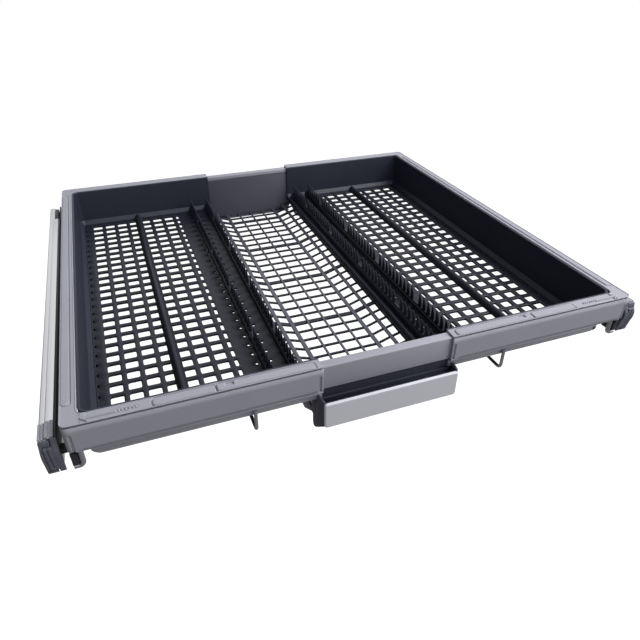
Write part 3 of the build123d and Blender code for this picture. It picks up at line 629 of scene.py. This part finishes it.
strip = grille(np.array((floor_x[0], seam + 27.5, strip_edge - strip_border)), slit_edges,
               seam + np.array(((19.7, 22.3), (33.0, 35.5))), slit_y, 0.7, 0.1)
for side in sides:
    for name, part in (("grille", net), ("band", band), ("strip", strip)):
        side_piece(side, "{}_floor_" + name, part, "{}_section", "{}_floor",
                   dark_polypropylene, closed=False)

# Tine rows
# Each fold-down row is a square bar of black polypropylene that turns on a steel wire, with
# curved tines in groups of ten. A tine is a flat blade that narrows and leans to the back.
tine_pitch, tine_group = 8.5, 11
tine_height, tine_base, tine_sheet, tine_tip = 21.0, 5.6, 2.6, 0.55
bar_size, web_height = 5.0, 1.6
pivot_drop = floor_top - 4.2
row_gap = 0.3


def tine_blades(x, places, foot_drop):
    """All tines of a row: for each, rings of eight points up a curved middle line. The line
    leans by a share of the square of the height, and the width narrows by a power of it."""
    rise = np.linspace(0, 1, 7)
    lean = 3.4 * rise ** 2 - 1.2 * rise
    width = tine_base / 2 * (1 - rise ** 1.6) ** 0.8 + tine_tip
    sheet = tine_sheet / 2 * (1 - 0.55 * rise)
    turn = np.radians(np.arange(8) * 45 + 22.5)
    across = sheet[:, None] * np.cos(turn)[None] * 1.08
    along = lean[:, None] + width[:, None] * np.sin(turn)[None]
    up = foot_drop - rise * (tine_height - (floor_top - foot_drop))
    one = np.stack((x + across, along, np.broadcast_to(up[:, None], across.shape)), 2)
    points = one.reshape(-1, 3) + np.array((0.0, 1.0, 0.0)) * places[:, None, None]
    faces = ring_faces(7, 8)
    every = [[index + 56 * number for index in face] for number in range(len(places))
             for face in faces]
    return points, every


row_y = (floor_y[0] + row_gap, floor_y[1] - row_gap)
tine_count = int((row_y[1] - row_y[0] - tine_pitch) / tine_pitch) + 1
tine_first = (row_y[0] + row_y[1] - (tine_count - 1) * tine_pitch) / 2
tine_places = tine_first + tine_pitch * np.arange(tine_count)
tine_places = tine_places[np.arange(1, tine_count + 1) % tine_group != 0]
bar_top, bar_foot = pivot_drop - bar_size / 2, pivot_drop + bar_size / 2
for side in sides:
    for row in ("inner", "outer"):
        node = f"{side}_{row}_tine_row"
        x = sum(spans(node)[0]) / 2
        bar = block((x - bar_size / 2, x + bar_size / 2), row_y, (bar_top, bar_foot), 1, 0.9, 0.5)
        web = block((x - tine_sheet / 2, x + tine_sheet / 2), row_y,
                    (bar_top - web_height, pivot_drop), 1, 0.5, 0.4)
        blades = tine_blades(x, tine_places, bar_top - 0.6)
        side_piece(side, node + "_moulding", joined([bar, web, blades]), f"{side}_{row}_tines",
                   node, dark_polypropylene)

# Rest ribs
# A low hollow ridge with a rounded crest lies along each floor, moulded in the same black
# polypropylene and clipped on the ribs.
ridge_x, ridge_y, ridge_drops = spans("right_rest_rib")
ridge_height = ridge_drops[1] - ridge_drops[0]
across = np.linspace(-1, 1, 17)
ridge = np.stack((sum(ridge_x) / 2 + (ridge_x[1] - ridge_x[0]) / 2 * across,
                  floor_top - ridge_height * np.cos(across * np.pi / 2) ** 0.8), 1)
for side in sides:
    side_piece(side, "{}_rest_ridge", slab(ridge, ridge_y, 0.4, 1), "{}_section",
               "{}_rest_rib", dark_polypropylene)

# Wires
# All wires are drawn stainless rod: two cross rods that carry the sections, a cradle wire
# under each floor, and the wires that the tine rows turn on. The rods are bent cold.


def stainless(name, colour, roughness, streak, along, bump=0.25):
    """Stainless steel with fine drawn lines: noise stretched along one axis, its lines a
    streak wide in mm, turns the tone, the gloss and the relief a little. The streaks are
    drawn wider than real ones, so that they show."""
    material, tree, output = new_material(name)
    place = add(tree, "ShaderNodeTexCoord").outputs["Object"]
    scale = [1 / (streak * mm)] * 3
    scale[along] = 1 / (70 * mm)
    stretch = add(tree, "ShaderNodeMapping", {"Scale": scale}, {"Vector": place})
    lines = add(tree, "ShaderNodeTexNoise", {"Scale": 1.0, "Detail": 2.0},
                {"Vector": stretch.outputs["Vector"]})
    darker = [channel * 0.86 for channel in hex_colour(colour)[:3]]
    finish_surface(tree, output, ((*darker, 1.0), hex_colour(colour)), lines.outputs["Fac"],
                   lines.outputs["Fac"], (roughness - 0.06, roughness + 0.08), (bump, 0.02),
                   {"Metallic": 1.0})
    return material


# Drawn and polished: a long narrow highlight down each wire.
drawn_wire = stainless("drawn_stainless_wire", "B4B6BC", 0.26, 0.6, 1)
rod_radius, cradle_radius, hinge_radius = 2.25, 1.5, 1.2
rod_bend, cradle_bend = 3.0, 4.5


def tube(route, radius, bend, facets=14):
    """Round wire along corners given as (x, depth, drop). Corners are turned on arcs of the
    bend radius, and the ring of each station lies across the middle of its two directions.
    Every wire here lies in one plane, so the rings share that plane's normal."""
    route = np.asarray(route, float)
    stations = [route[0]]
    for before, corner, after in zip(route, route[1:], route[2:]):
        into = (before - corner) / np.linalg.norm(before - corner)
        out = (after - corner) / np.linalg.norm(after - corner)
        centre = corner + (into + out) * bend
        turn = np.radians(np.linspace(0, 90, 8))[:, None]
        stations.extend(centre - bend * (out * np.cos(turn) + into * np.sin(turn)))
    stations = np.array(stations + [route[-1]])
    step = np.diff(stations, axis=0)
    step = step / np.linalg.norm(step, axis=1)[:, None]
    ahead = np.vstack((step[:1], step[1:] + step[:-1], step[-1:]))
    ahead = ahead / np.linalg.norm(ahead, axis=1)[:, None]
    plane = route[2] - route[1] if len(route) > 2 else (0.3, 0.2, 1.0)
    normal = np.cross(route[1] - route[0], plane)
    normal = normal / np.linalg.norm(normal)
    other = np.cross(ahead, normal)
    angle = np.linspace(0, 2 * np.pi, facets, endpoint=False)
    grid = (stations[:, None] + radius * (np.cos(angle)[None, :, None] * normal
                                          + np.sin(angle)[None, :, None] * other[:, None]))
    return grid.reshape(-1, 3), ring_faces(len(stations), facets)


rod_x, rod_y, rod_drops = spans("front_cross_rod")
rod_reach, rod_depth = rod_x[1], sum(rod_y) / 2
rod_top, rod_end = rod_drops[0] + rod_radius, rod_drops[1] - rod_radius
leg = half_width - 7.3
for name, place in (("front", rod_depth), ("rear", depth - rod_depth)):
    route = [(-rod_reach, place, rod_end), (-leg, place, rod_end), (-leg, place, rod_top),
             (leg, place, rod_top), (leg, place, rod_end), (rod_reach, place, rod_end)]
    piece(f"{name}_cross_rod_wire", tube(route, rod_radius, rod_bend), "tray",
          f"{name}_cross_rod", drawn_wire)

for side, sign in sides.items():
    node = f"{side}_inner_cradle_wire"
    cradle_x, cradle_y, cradle_drops = spans(node)
    x = sign * sum(cradle_x) / 2
    start, end = cradle_y[0] + cradle_radius, cradle_y[1] - cradle_radius
    top, bottom = cradle_drops[0], cradle_drops[1] - cradle_radius
    route = [(x, start, top), (x, start, bottom), (x, end, bottom), (x, end, top)]
    piece(node + "_rod", tube(route, cradle_radius, cradle_bend), f"{side}_section", node,
          drawn_wire)
    hinge_x, hinge_y, _ = spans(f"{side}_hinge_wires")
    wires = [tube([(sign * x, y, pivot_drop) for y in hinge_y], hinge_radius, 0.0)
             for x in (hinge_x[0] + 1.25, hinge_x[1] - 1.25)]
    piece(f"{side}_hinge_wire_pair", joined(wires), f"{side}_section", f"{side}_hinge_wires",
          drawn_wire)

# Rod bushes
# Guide blocks of the same black polypropylene sit inside the frames' front and rear walls and
# run on the cross rods. Their solids are right as they are.
for side in sides:
    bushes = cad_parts[f"{side}_rod_bushes"]
    bushes.data.materials.clear()
    bushes.data.materials.append(dark_polypropylene)

# Centre panels
# The front and rear walls of the middle are grey moulded polypropylene channels clamped on
# the cross rods. Both reach a little way into the side frames. The front one runs further
# down and closes the back of the handle.
panel_step, panel_sheet, panel_back, panel_lip = 2.5, 2.0, 11.5, 5.0
panel_skirt = (4.9, 6.5)
panel_foot = 53.2
ledge_bottom = 24.5
stiffener_x, stiffener_sheet, stiffener_drop = 30.0, 3.0, 19.0
panel_in = panel_step + panel_sheet
ledge_top = ledge_bottom - skirt_sheet
panel_corners = [(panel_step, panel_step), (panel_back, panel_step),
                 (panel_back, panel_step + panel_lip),
                 (panel_back - panel_sheet, panel_step + panel_lip),
                 (panel_back - panel_sheet, panel_in), (panel_in, panel_in),
                 (panel_in, ledge_top), (panel_skirt[1], ledge_top),
                 (panel_skirt[1], skirt_drop), (panel_skirt[0], skirt_drop),
                 (panel_skirt[0], ledge_bottom), (panel_step, ledge_bottom)]
for name in ("front", "rear"):
    reach = spans(f"centre_{name}_panel")[0][1]
    parts = [slab(rounded(panel_corners, 0.7), (-reach, reach), 0.2, 0)]
    parts += [block((x - stiffener_sheet / 2, x + stiffener_sheet / 2),
                    (panel_step + 1, panel_back - 1), (panel_step + 1, stiffener_drop), 0, 0.5, 0.2)
              for x in (-stiffener_x, stiffener_x)]
    if name == "front":
        parts.append(block((-seam, seam), panel_skirt, (skirt_drop - 1, panel_foot), 1, 0.8, 0.3))
    part = joined(parts)
    piece(f"centre_{name}_panel_channel", part if name == "front" else reflected(part, 1), "tray",
          f"centre_{name}_panel", grey_polypropylene)

# Centre tub
# A deep ring of grey polypropylene, darkened with painted shade, hangs below the channels. Its
# side walls are low, slanted at the front and rear and cut out in the middle. A ledge inside carries
# the grid.
tub_x, _, (tub_top, tub_drop) = spans("centre_tub")
tub_half, tub_sheet = tub_x[1], 1.6
tub_side_top, tub_side_start = liner_bottom + 0.7, 30.0
slope_drop, foot_half = 53.8, 59.0
middle_start, middle_drop, middle_slope = 54.0, 59.0, 12.0

# The same plastic as the frames in a smoother tool, which makes it a little glossier. Its darker
# tone is painted shade for the tub, deep inside the tray.
frame_grey_painted_shade = moulded_plastic("slate_grey_polypropylene_painted_shade", "5A5B66", "52535E",
                                      0.4, 0.5, 0.25)
wall = slab(rounded([(-tub_half, tub_top), (tub_half, tub_top), (tub_half, slope_drop),
                     (foot_half, tub_drop), (-foot_half, tub_drop), (-tub_half, slope_drop)], 0.8),
            (panel_back - panel_sheet, panel_back), 0.4, 1)
shelf = block((-foot_half, foot_half), (panel_back - 0.5, panel_back + ledge_width),
              (tub_drop - ledge_sheet, tub_drop), 2, 0.0, 0.3)
half_outline = [(panel_back, tub_side_top), (panel_back, slope_drop), (tub_side_start, tub_drop),
                (tub_side_start + middle_slope, tub_drop), (middle_start, middle_drop)]
side_wall = slab(half_outline + [(depth - y, drop) for y, drop in half_outline[::-1]],
                 (tub_half - tub_sheet, tub_half), 0.4, 0)
ledge = block((tub_half - 3.6, tub_half - 1), (middle_start, depth - middle_start),
              (middle_drop - ledge_sheet, middle_drop), 2, 0.0, 0.3)
piece("centre_tub_ring", joined([with_image(wall, 1), with_image(shelf, 1),
                                 with_image(side_wall, 0), with_image(ledge, 0)]),
      "tray", "centre_tub", frame_grey_painted_shade)

# Centre grid
# One black moulding: thin cross bars, every sixth one wide, follow the flat middle and the
# ramp at each side. Long ribs lie on them, and the two at the foot of the ramps are wider.
(_, ramp_top_x), grid_y, _ = spans("centre_grid")
ramp_knee_x, flat_half = 50.0, 35.3
flat_drop, knee_drop, top_drop = 62.0, 57.0, 53.4
rib_sheet, knee_sheet = 1.5, 1.6
bar_step, bar_sheet, bar_height, bar_crown = 1.2, 1.2, 2.2, 0.35
cross_pitch, cross_start = 15.43, 15.5
wide_every, wide_first = 6, 3
bar_widths = {False: 2.1, True: 4.9}
thin_rib, broad_rib = 2.6, 4.6
knee_half, end_half = 2.1, 1.1

# The ribs' tone is paler than the bars': painted light on their tops, which face the lamp above.
# They are also a little glossier.
rib_polypropylene_painted_light = moulded_plastic("charcoal_polypropylene_painted_light", "50525E", "484A56",
                                     0.35, 0.5, 0.15)


def carried(route, y, half, sheet, crown):
    """A bar across the tray that follows (x, drop) points: at each point a ring of eight
    points, as wide as the bar along the depth and as thick as the sheet, its top edges
    rounded by the crown."""
    route = np.asarray(route, float)
    ring = np.array([(-half, sheet), (-half, crown), (-half + crown, 0.0), (0.0, -crown * 0.15),
                     (half - crown, 0.0), (half, crown), (half, sheet), (0.0, sheet)])
    grid = np.stack(np.broadcast_arrays(route[:, :1], y + ring[:, 0],
                                        route[:, 1:] + ring[:, 1]), 2)
    return grid.reshape(-1, 3), ring_faces(len(route), 8)


ramp = [(-ramp_top_x, top_drop), (-ramp_knee_x, knee_drop), (-flat_half, flat_drop)]
ramp += [(-x, drop) for x, drop in reversed(ramp)]
under = [(x, drop + bar_step) for x, drop in ramp]
cross_count = int((grid_y[1] - cross_pitch / 2 - cross_start) / cross_pitch) + 1
parts = [carried(under, cross_start + number * cross_pitch,
                 bar_widths[number % wide_every == wide_first] / 2, bar_height, bar_crown)
         for number in range(cross_count)]
parts += [carried(under, y, end_half, bar_sheet, bar_crown)
          for y in (grid_y[0] + end_half, grid_y[1] - end_half)]
piece("centre_grid_bars", joined(parts), "tray", "centre_grid",
      dark_polypropylene)
ribs = [(flat_half * share, (broad_rib if abs(share) == 1 else thin_rib) / 2, flat_drop,
         rib_sheet, 0.7) for share in (-1, -0.5, 0, 0.5, 1)]
ribs += [(sign * x, half, drop, knee_sheet, 0.6) for sign in (-1, 1)
         for x, half, drop in ((ramp_knee_x, knee_half, knee_drop),
                               (ramp_top_x - end_half, end_half, top_drop))]
# The ribs take the paler tone of painted light.
piece("centre_grid_ribs",
      joined([block((x - half, x + half), grid_y, (drop, drop + sheet), 1, radius, 0.2)
              for x, half, drop, sheet, radius in ribs]),
      "tray", "centre_grid", rib_polypropylene_painted_light)

# Handle
# A light grey ABS front plate with soft edges is clipped on a dark ABS trough. The trough's
# cheeks widen and its bottom falls towards the tub. Fingers reach in from above.
(_, face_x), face_y, face_drop = spans("handle_face")
(_, body_half), (_, body_back), (_, body_drop) = spans("handle_body")
plate_top, plate_edge, plate_side, plate_corner = face_drop[0] + 1.6, 1.05, 0.6, 2.8

# Both are moulded satin: the plate is pale and even, and the trough is dark. Its dark ABS
# also makes a thin sheet of painted shade behind the plate.
light_abs = moulded_plastic("satin_light_grey_abs", "DCDDE5", "D6D7DF", 0.45, 0.5, 0.15, 0.25)
slate_abs = moulded_plastic("dark_slate_abs", "464855", "40424E", 0.42, 0.5, 0.2, 0.25)
points, faces = block((-face_x + plate_side, face_x - plate_side),
                      (face_y[0], face_y[1] + plate_edge), (plate_top, face_drop[1]),
                      1, plate_corner, plate_edge, 5)
points[:, 1] = np.minimum(points[:, 1], face_y[1])
piece("handle_front_plate", (points, faces), "tray", "handle_face", light_abs)

trough_sheet, lining_sheet, painted_shade_sheet = 2.0, 1.6, 0.4
cheek_back, clear_drop, cheek_corner = 2.3, 34.6, 9.0
back_y = (2.9, 4.9)
end_gap = 0.4


def trough_bottom(y):
    """Drop of the trough's underside, falling evenly from the front plate to the tub."""
    return face_drop[1] + (body_drop - face_drop[1]) * (y - face_y[1]) / (body_back - face_y[1])


cheek, faces = slab(rounded([(face_y[1], face_drop[0]), (cheek_back, face_drop[0]),
                             (cheek_back, clear_drop), (body_back, clear_drop),
                             (body_back, body_drop), (face_y[1], face_drop[1])],
                            [1.0, 1.0, 1.0, 1.0, cheek_corner, 1.0], 8),
                    (face_x - trough_sheet, face_x), 0.4, 0)
cheek[:, 0] += (body_half - face_x) / (body_back - face_y[1]) * (cheek[:, 1] - face_y[1])
under_front, under_back = trough_bottom(face_y[1]), trough_bottom(body_back)
bottom = slab(rounded([(face_y[1], under_front - trough_sheet),
                       (body_back, under_back - trough_sheet),
                       (body_back, under_back), (face_y[1], under_front)], 0.4),
              (-face_x + end_gap, face_x - end_gap), 0.1, 0)
back_wall = block((-face_x + 1, face_x - 1), back_y,
                  (clear_drop, trough_bottom(back_y[0]) - 1), 1, 0.5, 0.2)
# A thin sheet of the trough's dark ABS on the front channel's skirt, seen above the plate: painted
# shade for the shadow inside the trough.
painted_shade_strip = block((-seam + 0.2, seam - 0.2), (back_y[1] - painted_shade_sheet, back_y[1]),
                   (ledge_bottom + 1.5, clear_drop + 0.3), 1, 0.5, 0.1)
lining = block((-face_x + end_gap, face_x - end_gap), (face_y[1], face_y[1] + lining_sheet),
               (plate_top + 0.4, face_drop[1] - 1), 0, 0.5, 0.1)
piece("handle_trough",
      joined([with_image((cheek, faces), 0), bottom, back_wall, painted_shade_strip, lining]),
      "tray", "handle_body", slate_abs)

# Handle screws
# Two pan-head steel screws hold the trough to the front channel. Each was headed cold, and
# its recess is drawn as a round dimple.
head_radius, head_height, shank_radius = 3.2, 1.6, 1.6
(_, screw_reach), screw_y, screw_drops = spans("handle_screws")


def turned(profile, x, drop, facets=24):
    """A profile of (radius, depth) points turned about an axis along the depth."""
    profile = np.asarray(profile, float)
    angle = np.linspace(0, 2 * np.pi, facets, endpoint=False)
    grid = np.stack(np.broadcast_arrays(x + profile[:, :1] * np.cos(angle), profile[:, 1:],
                                        drop + profile[:, :1] * np.sin(angle)), 2)
    return grid.reshape(-1, 3), ring_faces(len(profile), facets)


screw_profile = [(0.3, screw_y[0] + 0.9), (1.1, screw_y[0] + 0.5), (1.3, screw_y[0] + 0.05),
                 (2.2, screw_y[0] + 0.15), (3.0, screw_y[0] + 0.7),
                 (head_radius, screw_y[0] + head_height), (shank_radius, screw_y[0] + head_height),
                 (shank_radius, screw_y[1] - 0.5), (0.6, screw_y[1])]
screw = turned(screw_profile, screw_reach - head_radius, sum(screw_drops) / 2)
piece("handle_screw_pair", with_image(screw, 0), "tray", "handle_screws",
      drawn_wire)

# Rails
# Three roll-formed stainless C profiles slide in one another on balls, with bent edges. The
# outer one is screwed to the machine's wall through two ears, and a tall carrier angle is
# riveted to the inner one. Its top flange is the broad bright band beside the tray.
sheet = 1.2
(_, rail_x), rail_y, (rail_drop, _) = spans("right_outer_rail")
slide_y = spans("right_inner_rail")[1]
carrier_drop = spans("right_carrier")[2][0]
rail_height = 32.5
rail_foot = rail_drop + rail_height
nest = sheet + 3.2
slant_drop, slant_share = 38.0, 0.7
ear_length, ear_drop, hole_radius = 24.0, 12.0, 2.6
ear_places = (rail_y[0] + 50.0, rail_y[1] - 50.0)

# Brushed along its length: pale, with fine lines that soften what it mirrors.
rolled_stainless = stainless("brushed_stainless_sheet", "E4E5E9", 0.34, 0.5, 1)


def c_profile(web, tip, gap):
    """C outline with bent corners, a gap inside the outer rail's edges: the web stands at
    one inset from the outer face and the flanges end at the other."""
    top, low = rail_drop + gap, rail_foot - gap
    inward = np.sign(tip - web) * sheet
    corners = [(web, top), (tip, top), (tip, top + sheet), (web + inward, top + sheet),
               (web + inward, low - sheet), (tip, low - sheet), (tip, low), (web, low)]
    return rounded([(rail_x - inset, drop) for inset, drop in corners], 0.9)


def ear(place):
    """A screw ear: a plate round a hole, as rings between a rounded square and a circle."""
    turn = np.radians(np.arange(24) * 15.0)
    circle = np.stack((np.cos(turn), np.sin(turn)), 1)
    square = circle / np.max(np.abs(circle), axis=1)[:, None]
    outer = square * (ear_length / 2, ear_drop / 2 + 0.3)
    outer = outer * (1 - 0.12 * (np.abs(square).min(axis=1) > 0.7))[:, None]
    hole = circle * hole_radius
    centre = np.array((place, rail_foot + ear_drop / 2))
    rings = [(outer, rail_x), (hole, rail_x), (hole, rail_x - sheet), (outer, rail_x - sheet)]
    grid = np.array([[(x, *(centre + spot)) for spot in flat] for flat, x in rings])
    return grid.reshape(-1, 3), grid_faces(4, 24, close_rows=True, close_columns=True)


def cut_back(part, y):
    """The part with its lower front corner slanted: points of the front end move back by a
    share of how far they lie below the start of the slant."""
    points, faces = part
    at_front = points[:, 1] < y + 1.0
    points[at_front, 1] += slant_share * np.maximum(points[at_front, 2] - slant_drop, 0)
    return points, faces


carrier = rounded([(rail_x - inset, drop) for inset, drop in
                   ((10.5, carrier_drop), (4.4, carrier_drop), (4.4, carrier_drop + sheet),
                    (9.3, carrier_drop + sheet), (9.3, rail_foot), (10.5, rail_foot))], 0.8)
outer_rail = joined([cut_back(slab(c_profile(0.0, 6.0, 0.0), rail_y, 0.2, 1), rail_y[0])]
                    + [ear(place) for place in ear_places])
middle_rail = slab(c_profile(2.2, 7.6, nest), slide_y, 0.2, 1)
inner_rail = slab(c_profile(9.3, 5.0, 2 * nest), slide_y, 0.2, 1)
carrier_angle = cut_back(slab(carrier, slide_y, 0.2, 1), slide_y[0])
for side in sides:
    for name, node, part, body in (("outer_rail_profile", "outer_rail", outer_rail, "rails"),
                                   ("middle_rail_profile", "middle_rail", middle_rail,
                                    "middle_slides"),
                                   ("inner_rail_profile", "inner_rail", inner_rail, "tray"),
                                   ("carrier_angle", "carrier", carrier_angle, "tray")):
        side_piece(side, "{}_" + name, part, body, "{}_" + node, rolled_stainless)

# Rail holders
# Black glass-filled nylon brackets clipped on the carriers take the ends of the cross rods: a
# plate on the carrier, a shelf below the rim, and a block hooked over the rod's end. A black
# strip runs along the carrier between the two of a side, as painted shade for the gap beside the
# frame.
shelf_drops = (29.0, 32.0)
plate_sheet, shade_strip_sheet, shade_strip_height = 1.5, 1.8, 7.0
eye_y, holder_end = 3.25, 18.0
pocket_y = rod_depth + rod_radius + 0.3
eye_foot = rod_end - rod_radius
block_foot = eye_foot + 1.2
arms = {"front": (8.8, 30.5), "rear": (pocket_y, depth - slide_y[1] + 22.0)}

# The glass fibres near the moulded face leave it dull and slightly rough.
glass_nylon = moulded_plastic("glass_filled_black_nylon", "30323A", "26282F", 0.52, 0.9, 0.8)
for side in sides:
    (block_x, plate_x), _, (holder_top, _) = spans(f"{side}_hangers")
    block_x = (block_x, half_width - 0.5)
    ends = {}
    for end, arm in arms.items():
        ends[end] = joined([
            block((plate_x - plate_sheet, plate_x), arm, (holder_top, shelf_drops[1]), 0, 1.5, 0.3),
            block((block_x[0], plate_x - 0.2), (pocket_y, holder_end), shelf_drops, 2, 0.6, 0.4),
            block(block_x, (eye_y, pocket_y), shelf_drops, 2, 0.6, 0.4),
            block(block_x, (pocket_y - 0.5, holder_end), (shelf_drops[0], block_foot), 0, 0.8, 0.4),
            block(block_x, (eye_y + 1.0, pocket_y), (shelf_drops[0], eye_foot), 0, 0.5, 0.25)])
    # A black strip along the carrier: painted shade for the shaded gap between the frame and the
    # carrier.
    strip = block((plate_x - shade_strip_sheet, plate_x), slide_y,
                  (carrier_drop + 0.1, carrier_drop + shade_strip_height), 1, 0.6, 0.3)
    rear = reflected(ends["rear"], 1)
    side_piece(side, "{}_rail_holders", joined([ends["front"], rear, strip]), "tray",
               "{}_hangers", glass_nylon)

# Rail caps, sleeves and stops
# The front ends of the rails carry glass-filled nylon caps that taper to their feet, and grey
# acetal saddles behind them. A nylon buffer closes the rear of the outer rail. All are
# moulded and pushed on.
cap_foot = 46.2
cap_back, cap_front = rail_y[0], rail_y[0] - 5.0
cap_skin, nose_edge = 2.1, 0.6
plug_drops = (rail_drop + nest - 0.3, rail_foot - nest + 0.3)
plug_x = (rail_x - 4.9, rail_x - 2.3)
neck_reach = rail_x - 5.3

# The caps are dull and rough from their glass fibres. The saddles have a soft, slippery sheen.
cap_nylon = moulded_plastic("glass_filled_slate_nylon", "686A77", "565865", 0.52, 1.2, 1.0)
sleeve_acetal = moulded_plastic("grey_acetal_sleeve", "A8A9B2", "9E9FA9", 0.4, 0.5, 0.15, 0.35)


def cap_outline(top):
    """Side outline of a front cap as (depth, drop): upright back, a nose, a tapered foot."""
    return [(cap_back, top), (cap_back - 1.6, top), (cap_back - 2.4, top + 4.0),
            (cap_front, top + 9.5), (cap_front, top + 14.5), (cap_front + 1.6, top + 20.0),
            (cap_front + 2.6, cap_foot - 6.0), (cap_back - 1.0, cap_foot), (cap_back, cap_foot)]


for side in sides:
    cap_x, _, (top, _) = spans(f"{side}_outer_rail_cap")
    low_lobe = [(cap_back, plug_drops[1]), (cap_front + 2.2, plug_drops[1]),
                (cap_back - 1.0, cap_foot), (cap_back, cap_foot)]
    high_lobe = [(cap_back, top), (cap_back - 1.6, top), (cap_back - 2.4, plug_drops[0]),
                 (cap_back, plug_drops[0])]
    parts = [slab(rounded(lobe, 0.5), (cap_x[0], cap_x[1] - 1.0), 0.3, 0)
             for lobe in (low_lobe, high_lobe)]
    parts.append(slab(rounded(cap_outline(top), 1.2), (cap_x[1] - cap_skin, cap_x[1]), 0.5, 0))
    side_piece(side, "{}_outer_rail_cap_moulding", joined(parts), "rails",
               "{}_outer_rail_cap", cap_nylon)

    cap_x, _, (top, _) = spans(f"{side}_carrier_cap")
    nose_y, nose_drops = np.array(cap_outline(top)[3:7]).T
    drops = np.linspace(plug_drops[0] + 0.3, plug_drops[1] - 0.8, 7)
    nose = [(cap_back, drops[0]), *zip(np.interp(drops, nose_drops, nose_y), drops),
            (cap_back, drops[-1])]
    nose = rounded(nose, nose_edge)
    side_piece(side, "{}_carrier_cap_moulding",
               joined([slab(rounded(cap_outline(top), 1.2), cap_x, 0.6, 0),
                       slab(nose, (cap_x[1] - 0.2, neck_reach), 0.3, 0)]),
               "tray", "{}_carrier_cap", cap_nylon)

    for name, body in (("outer_rail_sleeve", "rails"), ("carrier_sleeve", "tray")):
        (x0, x1), y, drops = spans(f"{side}_{name}")
        split, slit = x0 + 0.55 * (x1 - x0), 0.25
        halves = [block(span, y, drops, 1, 0.5, 0.5)
                  for span in ((x0, split - slit), (split + slit, x1))]
        side_piece(side, "{}_" + name + "_saddle", joined(halves), body, "{}_" + name,
                   sleeve_acetal)
    side_piece(side, "{}_rear_buffer", block(*spans(f"{side}_rear_stop"), 1, 1.2, 0.8), "rails",
               "{}_rear_stop", glass_nylon)
    side_piece(side, "{}_middle_rail_end_plug", slab(nose, plug_x, 0.3, 0), "middle_slides",
               "{}_middle_rail_plug", cap_nylon)

# Ball cages and balls
# Cages of natural acetal, moulded as flat strips, space hardened chrome-steel balls in the
# rails. The cages' solids are right as they are.
ball_radius = 1.5
ball_places = (180.0, 240.0)

# Uncoloured and smooth: a milky white with a clear highlight.
acetal = moulded_plastic("natural_acetal", "E6E5DF", "DEDDD6", 0.3, 0.5, 0.05)
for side in sides:
    for race in ("outer", "inner"):
        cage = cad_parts[f"{side}_{race}_ball_cage"]
        cage.data.materials.clear()
        cage.data.materials.append(acetal)

# Ground and polished: a near mirror with a faint haze.
chrome_steel, tree, output = new_material("polished_chrome_steel")
place = add(tree, "ShaderNodeTexCoord").outputs["Object"]
haze = add(tree, "ShaderNodeTexNoise", {"Scale": 1 / (1.5 * mm)}, {"Vector": place})
gloss = add(tree, "ShaderNodeMapRange", {"To Min": 0.06, "To Max": 0.16},
            {"Value": haze.outputs["Fac"]})
shader = add(tree, "ShaderNodeBsdfPrincipled", {"Metallic": 1.0, "Base Color": hex_colour("D6D7DB")},
             {"Roughness": gloss.outputs["Result"]})
tree.links.new(shader.outputs[0], output.inputs["Surface"])


def balls(inset, drops):
    """Round balls at every place of a race: rings by latitude, points by longitude."""
    latitude = np.radians(np.linspace(-90, 90, 9))[1:-1]
    longitude = np.linspace(0, 2 * np.pi, 14, endpoint=False)
    ring = np.stack((np.outer(np.cos(latitude), np.cos(longitude)),
                     np.outer(np.cos(latitude), np.sin(longitude)),
                     np.outer(np.sin(latitude), np.ones(14))), 2).reshape(-1, 3)
    one = np.vstack((ring, (0.0, 0.0, -1.0), (0.0, 0.0, 1.0))) * ball_radius
    faces = grid_faces(7, 14, close_columns=True)
    faces += [[98, (k + 1) % 14, k] for k in range(14)]
    faces += [[99, 84 + k, 84 + (k + 1) % 14] for k in range(14)]
    return joined([(one + (sign * (rail_x - inset), y, drop), faces)
                   for sign in sides.values() for y in ball_places for drop in drops])


for race, level, inset in (("outer", 0, 4.0), ("inner", 1, 6.35)):
    reach = level * nest + sheet + ball_radius + 0.1
    piece(f"{race}_race_ball_set", balls(inset, (rail_drop + reach, rail_foot - reach)),
          f"{race}_cages", f"{race}_race_balls", chrome_steel)
